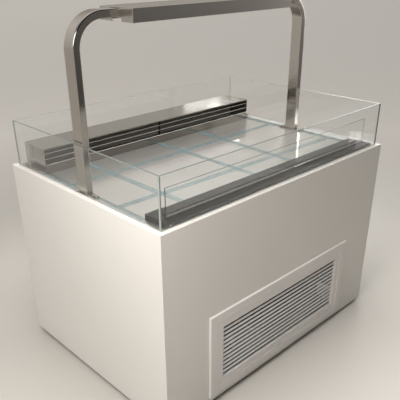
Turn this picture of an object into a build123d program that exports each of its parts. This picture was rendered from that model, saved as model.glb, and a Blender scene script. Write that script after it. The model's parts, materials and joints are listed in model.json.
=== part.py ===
from build123d import *
import os

# Free-standing refrigerated island display: white cabinet, glass guard, lamp gantry.
# Millimetres, origin on the floor under the middle, X along the length, front at -Y.

os.makedirs("parts", exist_ok=True)

# Overall sizes
length = 1400
depth = 1000
rim_height = 886
overall_height = 1537

# Clearances
touch_gap = 0.2
slip_gap = 0.5
running_gap = 0.05

# Side panels
panel_thickness = 18
panel_floor_gap = 18
panel_edge = 1.5

# Louvred grilles low on the long sides
grille_length = 944
grille_height = 406
grille_bottom = 42
grille_border = 40
grille_proud = 10
surround_edge = 2
collar_wall = 7
louvre_chord = 8.5
louvre_sheet = 1.5
louvre_tilt = 48
louvre_pitch_wanted = 21.5
blade_bite = 2

# Grille door, hung on two pins close behind its face
door_gap = 1.5
door_thickness = 14
door_recess = 2
door_border = 33
door_edge = 1
hinge_inset = 10
hinge_set = 5
pin_radius = 2.5
pin_in_frame = 6
pin_in_door = 14
pin_end_room = 2
stop_lip = 12
lip_sheet = 2
lip_clear_of_hinge = 12
magnet_width = 10
magnet_depth = 6
magnet_length = 40
magnet_spread = 90

# Frame and feet
rail = 40
rail_base = 40
frame_sheet = 2
corner_sheet = 3
cross_rail_x = 300
pad_radius = 28
pad_height = 10
pad_edge = 3
pad_sides = 20
stem_radius = 5
stem_spare = 8
nut_height = 8
nut_flat = 8.5

# Insulated tub
steel = 1.5
foam = 37
deck_drop = 12
tub_depth = 190
ledge_reach = 20
ledge_width = 44
ledge_sheet = 4

# Drain through the tub floor
drain_x = 340
drain_radius = 15
drain_wall = 2
drain_flange = 9
drain_inset = 38
drain_clearance = 40
drain_sides = 20

# Glass guard
glass = 8
glass_slot = 13.5
glass_height = 195
glass_sink = 44
glass_arris = 0.8
channel_wall = 1.5
channel_height = 22
rubber_pad = 3
outer_bead = 6
inner_bead = 18

# Return strip and riser pane at the front of the deck
strip_width = 118
strip_height = 25
slot_length = 22
slot_width = 5
slot_pitch = 30
slot_rows = 3
slot_row_pitch = 11
slot_behind_riser = 14
riser_inset = 36
riser_height = 114
riser_pane = 5
riser_arris = 0.6
riser_end_room = 18
riser_channel_width = 12
riser_channel_height = 10
riser_channel_floor = 2

# Air plenum at the back of the deck
plenum_depth = 160
plenum_height = 109
plenum_band = 37
plenum_lip = 5
plenum_board_thickness = 32
plenum_blade_count = 2
plenum_blade_chord = 10
plenum_blade_tilt = -12
plenum_blade_set = 8
strut_depth = 12
strut_set = 12
strut_sheet = 3
clip_width = 24
clip_height = 4
clip_reach = 14
clip_drop = 10

# Deck plates and the bearers under them
tray_count = 3
tray_skirt = 24
tray_gap = 1
tray_corner = 2
bearer_rise = 22
bearer_width = 30
bearer_sheet = 2
bearer_inset = 35

# Lamp gantry
tube_wide = 60
tube_thick = 30
tube_wall = 2
tube_corner = 2
bend_radius = 115
foot_plate_room = 2
foot_plate_height = 6
foot_plate_depth = 130
bolt_radius = 4
bolt_edge = 14
bolt_flat = 6.5
bolt_head = 5
lamp_length = 900
lamp_width = 196
lamp_height = 48
lamp_edge = 1
lamp_lip = 9
lip_bite = 1
tube_entry = 40
diffuser_sheet = 3
diffuser_end_room = 30
light_board_sheet = 3
light_board_width = 140
light_board_end_room = 10
lamp_row_count = 3
lamp_row_pitch = 46
lamp_row_width = 12
lamp_row_height = 2

# Evaporator and its fans
coil_y = -60
coil_depth = 180
coil_headroom = 18
coil_lift = 14
coil_end_room = 88
coil_plate = 2
coil_plate_lap = 16
coil_plate_rise = 6
coil_bend = 24
coil_bend_rise = 32
fin_pitch = 48
fin_sheet = 2
bend_tube = 6
evap_fan_margin = 10
evap_fan_pitch = 400
evap_fan_width = 22
evap_fan_set = 4
evap_blade_tilt = 32
evap_hub = 20
evap_shaft = 4
evap_shaft_reach = 28
evap_motor_radius = 30
evap_motor_length = 50
evap_strap_set = 16
evap_strap_margin = 10
evap_strap_width = 18
baffle_setback = 117.5
baffle_drop = 8
baffle_flange = 20
baffle_ring = 4

# Straps that carry the fan motors
strap_sheet = 3
strap_leg = 4
motor_sides = 16
fan_blades = 5
fan_hub_sides = 16
blade_sheet = 2
blade_root = 4

# Condensing unit
unit_overhang = 140
unit_front_room = 2
unit_back_room = 142
tray_edge = 25
can_x = -180
can_inset = 180
can_radius = 85
can_height = 205
can_crown = 30
can_heel = 20
can_sides = 24
can_plate = 4
can_plate_length = 210
can_plate_depth = 160
can_discharge = 130
can_suction = 80
can_spigot = 20
can_spigot_root = 10
cover_width = 40
cover_depth = 60
cover_height = 70
cover_rise = 90
cover_set = 4
mount_height = 14
mount_radius = 13
mount_pitch_x = 180
mount_pitch_y = 130

# Condenser, its shroud and its fan
condenser_x = 210
condenser_inset = 20
condenser_length = 380
condenser_height = 310
condenser_depth = 60
condenser_plate = 2
condenser_face_set = 4
condenser_fin_pitch = 24
condenser_foot = 12
condenser_fin_rim = 6
condenser_bend = 18
condenser_bend_rise = 60
condenser_inlet_drop = 30
condenser_outlet_rise = 40
shroud_depth = 60
shroud_ring = 5
shroud_sides = 32
fan_radius = 126
fan_hub = 32
fan_width = 32
fan_blade_tilt = 28
fan_shaft = 5
fan_shaft_reach = 44
fan_motor_radius = 42
fan_motor_length = 70
fan_motor_sides = 20
fan_strap_set = 30
fan_strap_margin = 18
fan_strap_width = 30

# Pipework
pipe_radius = 5
pipe_sides = 6
pipe_bend = 24
pipe_ease = 4
pipe_room = 50
pipe_spread = 30
pipe_stub = 15
socket_wall = 2
socket_sides = 8
liquid_line_room = 80
liquid_run_drop = 84
suction_run_drop = 40
suction_line_room = 170
drier_radius = 12
drier_length = 110
drier_rise = 150

# Condensate pan
pan_length = 160
pan_front_room = 100
pan_back_room = 28
pan_height = 60
pan_corner = 12
pan_wall = 2

# Control box with its switch and dial
box_x = -330
box_inset = 10
box_length = 180
box_depth = 60
box_height = 140
box_corner = 4
control_rise = 95
switch_from_middle = 48
switch_well_width = 21
switch_well_height = 36
switch_well_depth = 18
switch_pivot_set = 3
rocker_width = 20
rocker_height = 28
rocker_depth = 11
rocker_edge = 2
rocker_lean = 0.14
trunnion_radius = 2
trunnion_reach = 13
trunnion_end_room = 0.5
dial_from_middle = 42
dial_radius = 19
dial_height = 13
dial_draft = 6
dial_sides = 16
dial_bar_width = 5
dial_bar_length = 32
dial_bar_height = 4
dial_shaft = 3
dial_shaft_length = 18
dial_bore_length = 20

# Cable gland low on the back panel
gland_inset = 190
gland_z = 130
gland_radius = 10
gland_hex = 14
gland_head = 7
gland_nut = 6
gland_hole = 5
gland_hole_spare = 10

# Bars and bores are drawn with flat sides, bars inside their radius and bores outside it
round_sides = 12
bolt_sides = 8
ring_sides = 24

# Positions that follow from the sizes above
half_x = length / 2
half_y = depth / 2
room_x = half_x - panel_thickness
room_y = half_y - panel_thickness
skin_x = room_x - glass_slot
skin_y = room_y - glass_slot
foam_x = skin_x - steel
foam_y = skin_y - steel
liner_x = foam_x - foam
liner_y = foam_y - foam
cavity_x = liner_x - steel
cavity_y = liner_y - steel
deck_z = rim_height - deck_drop
flange_z = deck_z - steel
floor_z = deck_z - tub_depth
tub_base = floor_z - 2 * steel - foam
tray_base_z = deck_z - tray_skirt
duct_x = cavity_x + ledge_reach / 2
strip_front = -skin_y
strip_inner = strip_front + strip_width
strip_top = deck_z + strip_height
plenum_front = skin_y - plenum_depth
plenum_top = deck_z + plenum_height
board_front = skin_y - plenum_board_thickness
unit_z = rail_base + rail - frame_sheet
bench_z = unit_z + frame_sheet
unit_front = rail + unit_front_room - room_y
unit_back = room_y - rail - unit_back_room
socket_radius = pipe_radius + socket_wall


def save(part, name):
    """Give a piece its name and write it to the parts folder."""
    part.label = name
    export_step(part, f"parts/{name}.step")


def ring_face(z, outer_x, outer_y, wall):
    """A rectangular ring lying flat at height z, measured to its outer half sizes."""
    with BuildSketch(Plane.XY.offset(z)) as face:
        Rectangle(2 * outer_x, 2 * outer_y)
        Rectangle(2 * (outer_x - wall), 2 * (outer_y - wall), mode=Mode.SUBTRACT)
    return face.sketch


def flat_face(z, x_min, x_max, y_min, y_max):
    """A rectangle lying flat at height z."""
    with BuildSketch(Plane.XY.offset(z)) as face:
        with Locations(((x_min + x_max) / 2, (y_min + y_max) / 2)):
            Rectangle(x_max - x_min, y_max - y_min)
    return face.sketch


def side_face(y_min, y_max, z_min, z_max):
    """A rectangle in the plane across the length, to be drawn out along X."""
    with BuildSketch(Plane.YZ) as face:
        with Locations(((y_min + y_max) / 2, (z_min + z_max) / 2)):
            Rectangle(y_max - y_min, z_max - z_min)
    return face.sketch


def front_face(y, size_x, size_z, centre_z, hole_x=0, hole_z=0):
    """An upright rectangle at depth y, with an optional hole in its middle."""
    with BuildSketch(Plane.XZ.offset(-y)) as face:
        with Locations((0, centre_z)):
            Rectangle(size_x, size_z)
            if hole_x:
                Rectangle(hole_x, hole_z, mode=Mode.SUBTRACT)
    return face.sketch


def louvre_faces(y, z_min, z_max):
    """Tilted blade sections stacked between two heights, front edges low."""
    count = round((z_max - z_min) / louvre_pitch_wanted)
    pitch = (z_max - z_min) / count
    with BuildSketch(Plane.YZ) as blades:
        for step in range(1, count):
            with Locations((y, z_min + step * pitch)):
                Rectangle(louvre_chord, louvre_sheet, rotation=louvre_tilt)
    return blades.sketch


def return_bend(plane, radius):
    """Half ring of flattened tube that joins two rows of a coil, bulging along the plane's X."""
    with BuildSketch(plane) as bend:
        Circle(radius + bend_tube)
        Circle(radius - bend_tube, mode=Mode.SUBTRACT)
        with Locations((-radius, 0)):
            Rectangle(2 * radius, 4 * radius, mode=Mode.SUBTRACT)
    return bend.sketch


def axial_fan(plane, radius, hub_radius, width, blade_tilt, bore):
    """Fan with flat paddle blades whose axis is the normal of the plane."""
    span = radius - hub_radius
    root = hub_radius - blade_root
    with BuildPart() as blade:
        with BuildSketch(Plane.XY.rotated((blade_tilt, 0, 0))):
            with BuildLine():
                Polyline((root, -0.3 * span), (radius - 4, -0.42 * span), (radius, -0.1 * span),
                         (radius - 3, 0.42 * span), (root, 0.3 * span), close=True)
            make_face()
        extrude(amount=blade_sheet / 2, both=True)
    with BuildPart(plane) as fan:
        with BuildSketch(plane):
            RegularPolygon(hub_radius, fan_hub_sides)
            RegularPolygon(bore, round_sides, major_radius=False, mode=Mode.SUBTRACT)
        extrude(amount=width / 2, both=True)
        with PolarLocations(0, fan_blades):
            add(blade.part)
    return fan.part


# Folded steel frame: two channel rings, corner angles and cross rails
top_ring_z = tub_base - rail
foot_x = room_x - rail / 2
foot_y = room_y - rail / 2
channel_rise = rail - 2 * frame_sheet

with BuildPart() as frame:
    for ring_z in (rail_base, top_ring_z):
        extrude(ring_face(ring_z, room_x, room_y, rail), amount=rail)
        hollow_z = ring_z + frame_sheet
        hollow_x = room_x - frame_sheet
        hollow_y = room_y - frame_sheet
        extrude(flat_face(hollow_z, -hollow_x, hollow_x, -hollow_y, hollow_y),
                amount=channel_rise, mode=Mode.SUBTRACT)
    with BuildSketch(Plane.XY.offset(rail_base + rail)):
        Rectangle(2 * room_x, 2 * room_y)
        Rectangle(2 * (room_x - corner_sheet), 2 * (room_y - corner_sheet), mode=Mode.SUBTRACT)
        Rectangle(2 * (room_x - rail), 2 * room_y, mode=Mode.SUBTRACT)
        Rectangle(2 * room_x, 2 * (room_y - rail), mode=Mode.SUBTRACT)
    extrude(amount=top_ring_z - rail_base - rail)
    with BuildSketch(Plane.XZ):
        for ring_z in (rail_base, top_ring_z):
            with Locations((-cross_rail_x, ring_z + rail / 2), (cross_rail_x, ring_z + rail / 2)):
                Rectangle(rail, channel_rise)
        for ring_z in (rail_base, top_ring_z):
            low = ring_z + rail / 2 - frame_sheet
            with Locations((-cross_rail_x, low), (cross_rail_x, low)):
                Rectangle(rail - 2 * frame_sheet, channel_rise, mode=Mode.SUBTRACT)
    extrude(amount=room_y - frame_sheet, both=True)
    with BuildSketch(Plane.XY.offset(rail_base)):
        with GridLocations(2 * foot_x, 2 * foot_y, 2, 2):
            RegularPolygon(stem_radius + slip_gap, round_sides, major_radius=False)
    extrude(amount=frame_sheet, mode=Mode.SUBTRACT)
save(frame.part, "frame")

# Levelling feet, each a pad on a threaded stem
foot_places = {
    "foot_front_left": (-foot_x, -foot_y),
    "foot_front_right": (foot_x, -foot_y),
    "foot_back_left": (-foot_x, foot_y),
    "foot_back_right": (foot_x, foot_y),
}
stem_top = rail_base + frame_sheet + nut_height + stem_spare

for foot_name, foot_place in foot_places.items():
    with BuildPart() as foot:
        with BuildSketch():
            with Locations(foot_place):
                RegularPolygon(pad_radius, pad_sides)
        extrude(amount=pad_height)
        chamfer(foot.edges().group_by(Axis.Z)[-1], pad_edge)
        with BuildSketch(Plane.XY.offset(pad_height)):
            with Locations(foot_place):
                RegularPolygon(stem_radius, round_sides)
        extrude(amount=stem_top - pad_height)
    save(foot.part, foot_name)

# Nuts welded on the frame above every foot
with BuildPart() as foot_nuts:
    with BuildSketch(Plane.XY.offset(rail_base + frame_sheet)):
        with GridLocations(2 * foot_x, 2 * foot_y, 2, 2):
            RegularPolygon(nut_flat, 6, major_radius=False)
            RegularPolygon(stem_radius + running_gap, round_sides, major_radius=False, mode=Mode.SUBTRACT)
    extrude(amount=nut_height)
save(foot_nuts.part, "foot_nuts")

# White side panels with mitred corners, windows in the two long ones
grille_z = grille_bottom + grille_height / 2
opening_x = grille_length - 2 * grille_border
opening_z = grille_height - 2 * grille_border
collar_x = opening_x + 2 * collar_wall
collar_z = opening_z + 2 * collar_wall
panel_rise = rim_height - panel_floor_gap
gland_x = half_x - gland_inset

for side, panel_name in ((-1, "front_panel"), (1, "back_panel")):
    with BuildPart() as long_panel:
        with BuildSketch(Plane.XY.offset(panel_floor_gap)):
            with BuildLine():
                Polyline((touch_gap - half_x, side * half_y), (half_x - touch_gap, side * half_y),
                         (room_x - touch_gap, side * room_y), (touch_gap - room_x, side * room_y),
                         close=True)
            make_face()
        extrude(amount=panel_rise)
        rim_edges = long_panel.edges().group_by(Axis.Z)[-1].filter_by(Axis.X)
        chamfer(rim_edges.sort_by(Axis.Y)[0 if side < 0 else -1], panel_edge)
        window = front_face(side * half_y, collar_x + 2 * touch_gap, collar_z + 2 * touch_gap, grille_z)
        extrude(window, amount=side * panel_thickness, mode=Mode.SUBTRACT)
        if side > 0:
            with BuildSketch(Plane.XZ.offset(-half_y)):
                with Locations((gland_x, gland_z)):
                    RegularPolygon(gland_radius + touch_gap, round_sides)
            extrude(amount=panel_thickness, mode=Mode.SUBTRACT)
    save(long_panel.part, panel_name)

for side, panel_name in ((-1, "left_panel"), (1, "right_panel")):
    with BuildPart() as end_panel:
        with BuildSketch(Plane.XY.offset(panel_floor_gap)):
            with BuildLine():
                Polyline((side * half_x, touch_gap - half_y), (side * half_x, half_y - touch_gap),
                         (side * room_x, room_y - touch_gap), (side * room_x, touch_gap - room_y),
                         close=True)
            make_face()
        extrude(amount=panel_rise)
        rim_edges = end_panel.edges().group_by(Axis.Z)[-1].filter_by(Axis.Y)
        chamfer(rim_edges.sort_by(Axis.X)[0 if side < 0 else -1], panel_edge)
    save(end_panel.part, panel_name)

# Places where pipes and bolts pass the tub
coil_x = cavity_x - coil_end_room
pipe_x = -coil_x - pipe_room
liquid_y = coil_y - pipe_spread
suction_y = coil_y + pipe_spread
drain_y = unit_back - drain_inset
post_x = (cavity_x + skin_x) / 2
bolt_y = foot_plate_depth / 2 - bolt_edge


def tub_openings(z):
    """Openings for the two pipes and for the drain, lying flat at height z."""
    with BuildSketch(Plane.XY.offset(z)) as openings:
        with Locations((pipe_x, coil_y)):
            Rectangle(2 * pipe_radius + pipe_ease, suction_y - liquid_y + 2 * pipe_radius + pipe_ease)
        with Locations((drain_x, drain_y)):
            Rectangle(2 * (drain_radius + touch_gap), 2 * (drain_radius + touch_gap))
    return openings.sketch


# Insulated tub: outer skin, foam, liner with the flange around the deck
with BuildPart() as tub_skin:
    extrude(flat_face(tub_base, -skin_x, skin_x, -skin_y, skin_y), amount=flange_z - tub_base)
    offset(amount=-steel, openings=tub_skin.faces().sort_by(Axis.Z)[-1])
    extrude(tub_openings(tub_base), amount=steel, mode=Mode.SUBTRACT)
save(tub_skin.part, "tub_skin")

with BuildPart() as tub_insulation:
    extrude(flat_face(tub_base + steel, -foam_x, foam_x, -foam_y, foam_y),
            amount=flange_z - tub_base - steel)
    extrude(flat_face(floor_z - steel, -liner_x, liner_x, -liner_y, liner_y),
            amount=flange_z - floor_z + steel, mode=Mode.SUBTRACT)
    extrude(tub_openings(tub_base + steel), amount=foam, mode=Mode.SUBTRACT)
save(tub_insulation.part, "tub_insulation")

ledge_z = tray_base_z - bearer_rise
ledge_x = cavity_x - ledge_reach / 2
tray_front = strip_inner + tray_gap
tray_back = plenum_front - tray_gap
bearer_places = [tray_front + bearer_inset, (tray_front + tray_back) / 2, tray_back - bearer_inset]

with BuildPart() as tub_liner:
    extrude(flat_face(flange_z, -skin_x, skin_x, -skin_y, skin_y), amount=steel)
    extrude(flat_face(floor_z - steel, -liner_x, liner_x, -liner_y, liner_y),
            amount=deck_z - floor_z + steel)
    extrude(flat_face(floor_z, -cavity_x, cavity_x, -cavity_y, cavity_y),
            amount=deck_z - floor_z, mode=Mode.SUBTRACT)
    extrude(tub_openings(floor_z - steel), amount=steel, mode=Mode.SUBTRACT)
    with Locations((0, 0, ledge_z - ledge_sheet / 2)):
        for bearer_y in bearer_places:
            with Locations((-ledge_x, bearer_y), (ledge_x, bearer_y)):
                Box(ledge_reach, ledge_width, ledge_sheet)
    with BuildSketch(Plane.XY.offset(flange_z)):
        with GridLocations(2 * post_x, 2 * bolt_y, 2, 2):
            RegularPolygon(bolt_radius + touch_gap, bolt_sides)
    extrude(amount=steel, mode=Mode.SUBTRACT)
save(tub_liner.part, "tub_liner")

# Drain: flanged pipe through the tub floor
drain_end = bench_z + drain_clearance
drain_drop = floor_z - drain_end


def drain_face(z, radius):
    """A round section of the drain, lying flat at height z."""
    with BuildSketch(Plane.XY.offset(z)) as face:
        with Locations((drain_x, drain_y)):
            RegularPolygon(radius, drain_sides)
    return face.sketch


with BuildPart() as drain_pipe:
    extrude(drain_face(floor_z, drain_radius + drain_flange), amount=drain_wall)
    extrude(drain_face(drain_end, drain_radius), amount=drain_drop)
    extrude(drain_face(drain_end, drain_radius - drain_wall), amount=drain_drop + drain_wall, mode=Mode.SUBTRACT)
save(drain_pipe.part, "drain_pipe")

# Glass guard: channel around the tub, setting rubber and beads, four panes
pane_gap = (glass_slot - glass) / 2
glass_x = room_x - pane_gap
glass_y = room_y - pane_gap
glass_base = rim_height - glass_sink
glass_top = rim_height + glass_height
channel_z = glass_base - rubber_pad - channel_wall

with BuildPart() as glass_channel:
    extrude(ring_face(channel_z, room_x, room_y, glass_slot), amount=channel_height)
    extrude(ring_face(channel_z + channel_wall, room_x - channel_wall, room_y - channel_wall,
                      glass_slot - 2 * channel_wall),
            amount=channel_height - channel_wall, mode=Mode.SUBTRACT)
save(glass_channel.part, "glass_channel")

with BuildPart() as glazing_rubber:
    extrude(ring_face(channel_z + channel_wall, room_x - channel_wall, room_y - channel_wall,
                      glass_slot - 2 * channel_wall), amount=rubber_pad)
    extrude(ring_face(rim_height - outer_bead, room_x, room_y, pane_gap), amount=outer_bead)
    extrude(ring_face(rim_height - inner_bead, glass_x - glass, glass_y - glass, pane_gap), amount=inner_bead)
save(glazing_rubber.part, "glazing_rubber")

for side, pane_name in ((-1, "glass_front"), (1, "glass_back")):
    with BuildPart() as long_pane:
        with BuildSketch(Plane.XY.offset(glass_base)):
            with Locations((0, side * (glass_y - glass / 2))):
                Rectangle(2 * glass_x, glass)
        extrude(amount=glass_top - glass_base)
        chamfer(long_pane.edges().group_by(Axis.Z)[-1], glass_arris)
    save(long_pane.part, pane_name)

end_pane_depth = 2 * (glass_y - glass - touch_gap)
for side, pane_name in ((-1, "glass_left"), (1, "glass_right")):
    with BuildPart() as end_pane:
        with BuildSketch(Plane.XY.offset(glass_base)):
            with Locations((side * (glass_x - glass / 2), 0)):
                Rectangle(glass, end_pane_depth)
        extrude(amount=glass_top - glass_base)
        chamfer(end_pane.edges().group_by(Axis.Z)[-1], glass_arris)
    save(end_pane.part, pane_name)

# Return strip: folded cover with rows of slots, closed ends and a lip in front of the deck
riser_y = strip_front + riser_inset
riser_x = duct_x - riser_end_room
slot_y = riser_y + slot_behind_riser + (slot_rows - 1) * slot_row_pitch / 2
slot_count = int(2 * riser_x // slot_pitch)
lip_x = cavity_x - tray_gap

with BuildPart() as return_grille:
    extrude(side_face(strip_front, strip_inner, deck_z, strip_top), amount=duct_x, both=True)
    extrude(side_face(strip_front + steel, strip_inner - steel, deck_z, strip_top - steel),
            amount=duct_x - steel, both=True, mode=Mode.SUBTRACT)
    extrude(side_face(strip_inner - steel, strip_inner, tray_base_z, deck_z), amount=lip_x, both=True)
    with BuildSketch(Plane.XY.offset(strip_top - steel)):
        with Locations((0, slot_y)):
            with GridLocations(slot_pitch, slot_row_pitch, slot_count, slot_rows):
                Rectangle(slot_length, slot_width)
    extrude(amount=steel, mode=Mode.SUBTRACT)
save(return_grille.part, "return_grille")

# Riser: low inner pane in a bright channel along the strip
half_width = riser_channel_width / 2
half_slot = (riser_pane + slip_gap) / 2
riser_foot = strip_top + riser_channel_floor
riser_rim = strip_top + riser_channel_height

with BuildPart() as riser_channel:
    extrude(side_face(riser_y - half_width, riser_y + half_width, strip_top, riser_rim), amount=riser_x, both=True)
    extrude(side_face(riser_y - half_slot, riser_y + half_slot, riser_foot, riser_rim),
            amount=riser_x, both=True, mode=Mode.SUBTRACT)
save(riser_channel.part, "riser_channel")

with BuildPart() as riser_glass:
    extrude(side_face(riser_y - riser_pane / 2, riser_y + riser_pane / 2, riser_foot, strip_top + riser_height),
            amount=riser_x, both=True)
    chamfer(riser_glass.edges().group_by(Axis.Z)[-1], riser_arris)
save(riser_glass.part, "riser_glass")

# Air plenum: folded shell, louvre insert, insulated white board behind it
band_top = deck_z + plenum_band
shell_x = duct_x - steel

with BuildPart() as plenum_shell:
    extrude(flat_face(plenum_top - steel, -duct_x, duct_x, plenum_front, skin_y), amount=steel)
    for side in (-1, 1):
        with BuildSketch(Plane.YZ.offset(side * shell_x)):
            with Locations(((plenum_front + board_front) / 2, (deck_z + plenum_top) / 2)):
                Rectangle(board_front - plenum_front, plenum_height)
        extrude(amount=side * steel)
    extrude(side_face(plenum_front, plenum_front + steel, deck_z, band_top), amount=duct_x, both=True)
    extrude(side_face(plenum_front, plenum_front + plenum_lip, band_top - steel, band_top), amount=duct_x, both=True)
    extrude(side_face(plenum_front, plenum_front + steel, tray_base_z, deck_z), amount=lip_x, both=True)
    extrude(side_face(plenum_front, plenum_front + steel, plenum_top - plenum_lip, plenum_top),
            amount=duct_x, both=True)
    extrude(side_face(board_front - steel, board_front, deck_z, plenum_top), amount=duct_x, both=True)
save(plenum_shell.part, "plenum_shell")

blade_pitch = (plenum_top - band_top) / (plenum_blade_count + 1)
with BuildPart() as plenum_louvre:
    with BuildSketch(Plane.YZ):
        for step in range(1, plenum_blade_count + 1):
            with Locations((plenum_front + plenum_blade_set, band_top + step * blade_pitch)):
                Rectangle(plenum_blade_chord, steel, rotation=plenum_blade_tilt)
    extrude(amount=shell_x, both=True)
    with BuildSketch(Plane.YZ):
        with Locations((plenum_front + strut_set, (deck_z + plenum_top) / 2)):
            Rectangle(strut_depth, plenum_height - 2 * steel)
    extrude(amount=strut_sheet / 2, both=True)
    with BuildSketch(Plane.XZ.offset(-plenum_front - steel)):
        with Locations((0, band_top - clip_drop), (0, plenum_top - steel - clip_height / 2)):
            Rectangle(clip_width, clip_height)
    extrude(amount=-clip_reach)
save(plenum_louvre.part, "plenum_louvre")

with BuildPart() as plenum_board:
    extrude(flat_face(deck_z, -duct_x, duct_x, board_front, skin_y), amount=plenum_height - steel)
save(plenum_board.part, "plenum_board")

# Deck: three lift-out plates with turned-down skirts, resting on bearers
tray_length = (2 * cavity_x - (tray_count + 1) * tray_gap) / tray_count
tray_names = ("deck_plate_left", "deck_plate_middle", "deck_plate_right")

for place, tray_name in enumerate(tray_names):
    tray_x = (place - (tray_count - 1) / 2) * (tray_length + tray_gap)
    with BuildPart() as tray:
        extrude(flat_face(tray_base_z, tray_x - tray_length / 2, tray_x + tray_length / 2, tray_front, tray_back),
                amount=tray_skirt)
        chamfer(tray.edges().filter_by(Axis.Z), tray_corner)
        offset(amount=-steel, openings=tray.faces().sort_by(Axis.Z)[0])
    save(tray.part, tray_name)

with BuildPart() as deck_bearers:
    with BuildSketch(Plane.YZ):
        for bearer_y in bearer_places:
            with Locations((bearer_y, ledge_z + bearer_rise / 2)):
                Rectangle(bearer_width, bearer_rise)
        for bearer_y in bearer_places:
            with Locations((bearer_y, ledge_z + bearer_rise / 2 - bearer_sheet)):
                Rectangle(bearer_width - 2 * bearer_sheet, bearer_rise, mode=Mode.SUBTRACT)
    extrude(amount=cavity_x - slip_gap, both=True)
save(deck_bearers.part, "deck_bearers")

# Evaporator: finned block, end plates, return bends and two pipe stubs
coil_z = floor_z + coil_lift
coil_height = ledge_z - coil_headroom - coil_z
coil_plate_height = coil_lift + coil_height + coil_plate_rise
stub_z = coil_z + coil_height / 2

with BuildPart() as evaporator_coil:
    extrude(flat_face(coil_z, -coil_x, coil_x, coil_y - coil_depth / 2, coil_y + coil_depth / 2),
            amount=coil_height)
    fin_count = int(2 * coil_x // fin_pitch)
    with BuildSketch(Plane.XZ.offset(coil_depth / 2 - coil_y)):
        with Locations((0, stub_z)):
            with GridLocations(fin_pitch, 1, fin_count, 1):
                Rectangle(fin_pitch - fin_sheet, coil_height - 2 * fin_sheet)
    extrude(amount=-coil_depth, mode=Mode.SUBTRACT)
    for side in (-1, 1):
        plate_x = side * coil_x
        with BuildSketch(Plane.YZ.offset(plate_x)):
            with Locations((coil_y, floor_z + coil_plate_height / 2)):
                Rectangle(coil_depth + coil_plate_lap, coil_plate_height)
        extrude(amount=side * coil_plate)
        bend_plane = Plane(origin=(plate_x + side * coil_plate, coil_y, stub_z + side * coil_bend_rise),
                           x_dir=(side, 0, 0), z_dir=(0, 0, 1))
        extrude(return_bend(bend_plane, coil_bend), amount=bend_tube, both=True)
    with BuildSketch(Plane.YZ.offset(-coil_x - coil_plate)):
        with Locations((liquid_y, stub_z), (suction_y, stub_z)):
            RegularPolygon(socket_radius, socket_sides)
    extrude(amount=-pipe_stub)
save(evaporator_coil.part, "evaporator_coil")

# Fan baffle across the tub, motors on straps, three fans
baffle_x = cavity_x - tray_gap
baffle_y = tray_back - baffle_setback
baffle_top = ledge_z - baffle_drop
evap_fan_z = (floor_z + baffle_top) / 2
evap_fan_radius = baffle_top - evap_fan_z - evap_fan_margin
evap_fan_places = [(-evap_fan_pitch, evap_fan_z), (0, evap_fan_z), (evap_fan_pitch, evap_fan_z)]

with BuildPart() as fan_baffle:
    with BuildSketch(Plane.XZ.offset(-baffle_y)):
        with Locations((0, evap_fan_z)):
            Rectangle(2 * baffle_x, baffle_top - floor_z)
        with Locations(*evap_fan_places):
            RegularPolygon(evap_fan_radius + baffle_ring, ring_sides, major_radius=False, mode=Mode.SUBTRACT)
    extrude(amount=-steel)
    for flange_base in (floor_z, baffle_top - steel):
        extrude(flat_face(flange_base, -baffle_x, baffle_x, baffle_y, baffle_y + baffle_flange), amount=steel)
save(fan_baffle.part, "fan_baffle")

for number, (fan_x, fan_z) in enumerate(evap_fan_places, start=1):
    fan_plane = Plane(origin=(fan_x, baffle_y + evap_fan_set, fan_z), x_dir=(1, 0, 0), z_dir=(0, 1, 0))
    fan = axial_fan(fan_plane, evap_fan_radius, evap_hub, evap_fan_width, evap_blade_tilt, evap_shaft + running_gap)
    save(fan, f"evaporator_fan_{number}")

strap_y = baffle_y - evap_strap_set
evap_strap_reach = evap_fan_radius + evap_strap_margin
leg_x = evap_strap_reach - strap_leg / 2
with BuildPart() as evaporator_motors:
    for fan_x, fan_z in evap_fan_places:
        with BuildSketch(Plane.XZ.offset(-strap_y)):
            with Locations((fan_x, fan_z)):
                RegularPolygon(evap_motor_radius, motor_sides)
        extrude(amount=evap_motor_length)
        with Locations((fan_x, strap_y + strap_sheet / 2, fan_z)):
            Box(2 * evap_strap_reach, strap_sheet, evap_strap_width)
        with Locations((fan_x - leg_x, strap_y + evap_strap_set / 2, fan_z),
                       (fan_x + leg_x, strap_y + evap_strap_set / 2, fan_z)):
            Box(strap_leg, evap_strap_set, evap_strap_width)
        with BuildSketch(Plane.XZ.offset(-strap_y)):
            with Locations((fan_x, fan_z)):
                RegularPolygon(evap_shaft, round_sides)
        extrude(amount=-evap_shaft_reach)
save(evaporator_motors.part, "evaporator_motors")

# Gantry: bent rectangular tubes on bolted foot plates
tube_z = overall_height - steel - slip_gap - tube_thick / 2
foot_top = deck_z + foot_plate_height
tube_end_x = lamp_length / 2 - tube_entry

with BuildPart() as gantry_left:
    with BuildSketch(Plane.XY.offset(deck_z)):
        with Locations((-post_x, 0)):
            Rectangle(skin_x - cavity_x - foot_plate_room, foot_plate_depth)
            with Locations((0, -bolt_y), (0, bolt_y)):
                RegularPolygon(bolt_radius + touch_gap, bolt_sides, mode=Mode.SUBTRACT)
    extrude(amount=foot_plate_height)
    with BuildLine(Plane.XZ):
        FilletPolyline((-post_x, foot_top), (-post_x, tube_z), (-tube_end_x, tube_z), radius=bend_radius)
    with BuildSketch(Plane.XY.offset(foot_top)) as tube_section:
        with Locations((-post_x, 0)):
            Rectangle(tube_thick, tube_wide)
            chamfer(tube_section.vertices(), tube_corner)
            Rectangle(tube_thick - 2 * tube_wall, tube_wide - 2 * tube_wall, mode=Mode.SUBTRACT)
    sweep()
save(gantry_left.part, "gantry_left")

with BuildPart() as gantry_right:
    mirror(gantry_left.part, about=Plane.YZ)
save(gantry_right.part, "gantry_right")

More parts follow.
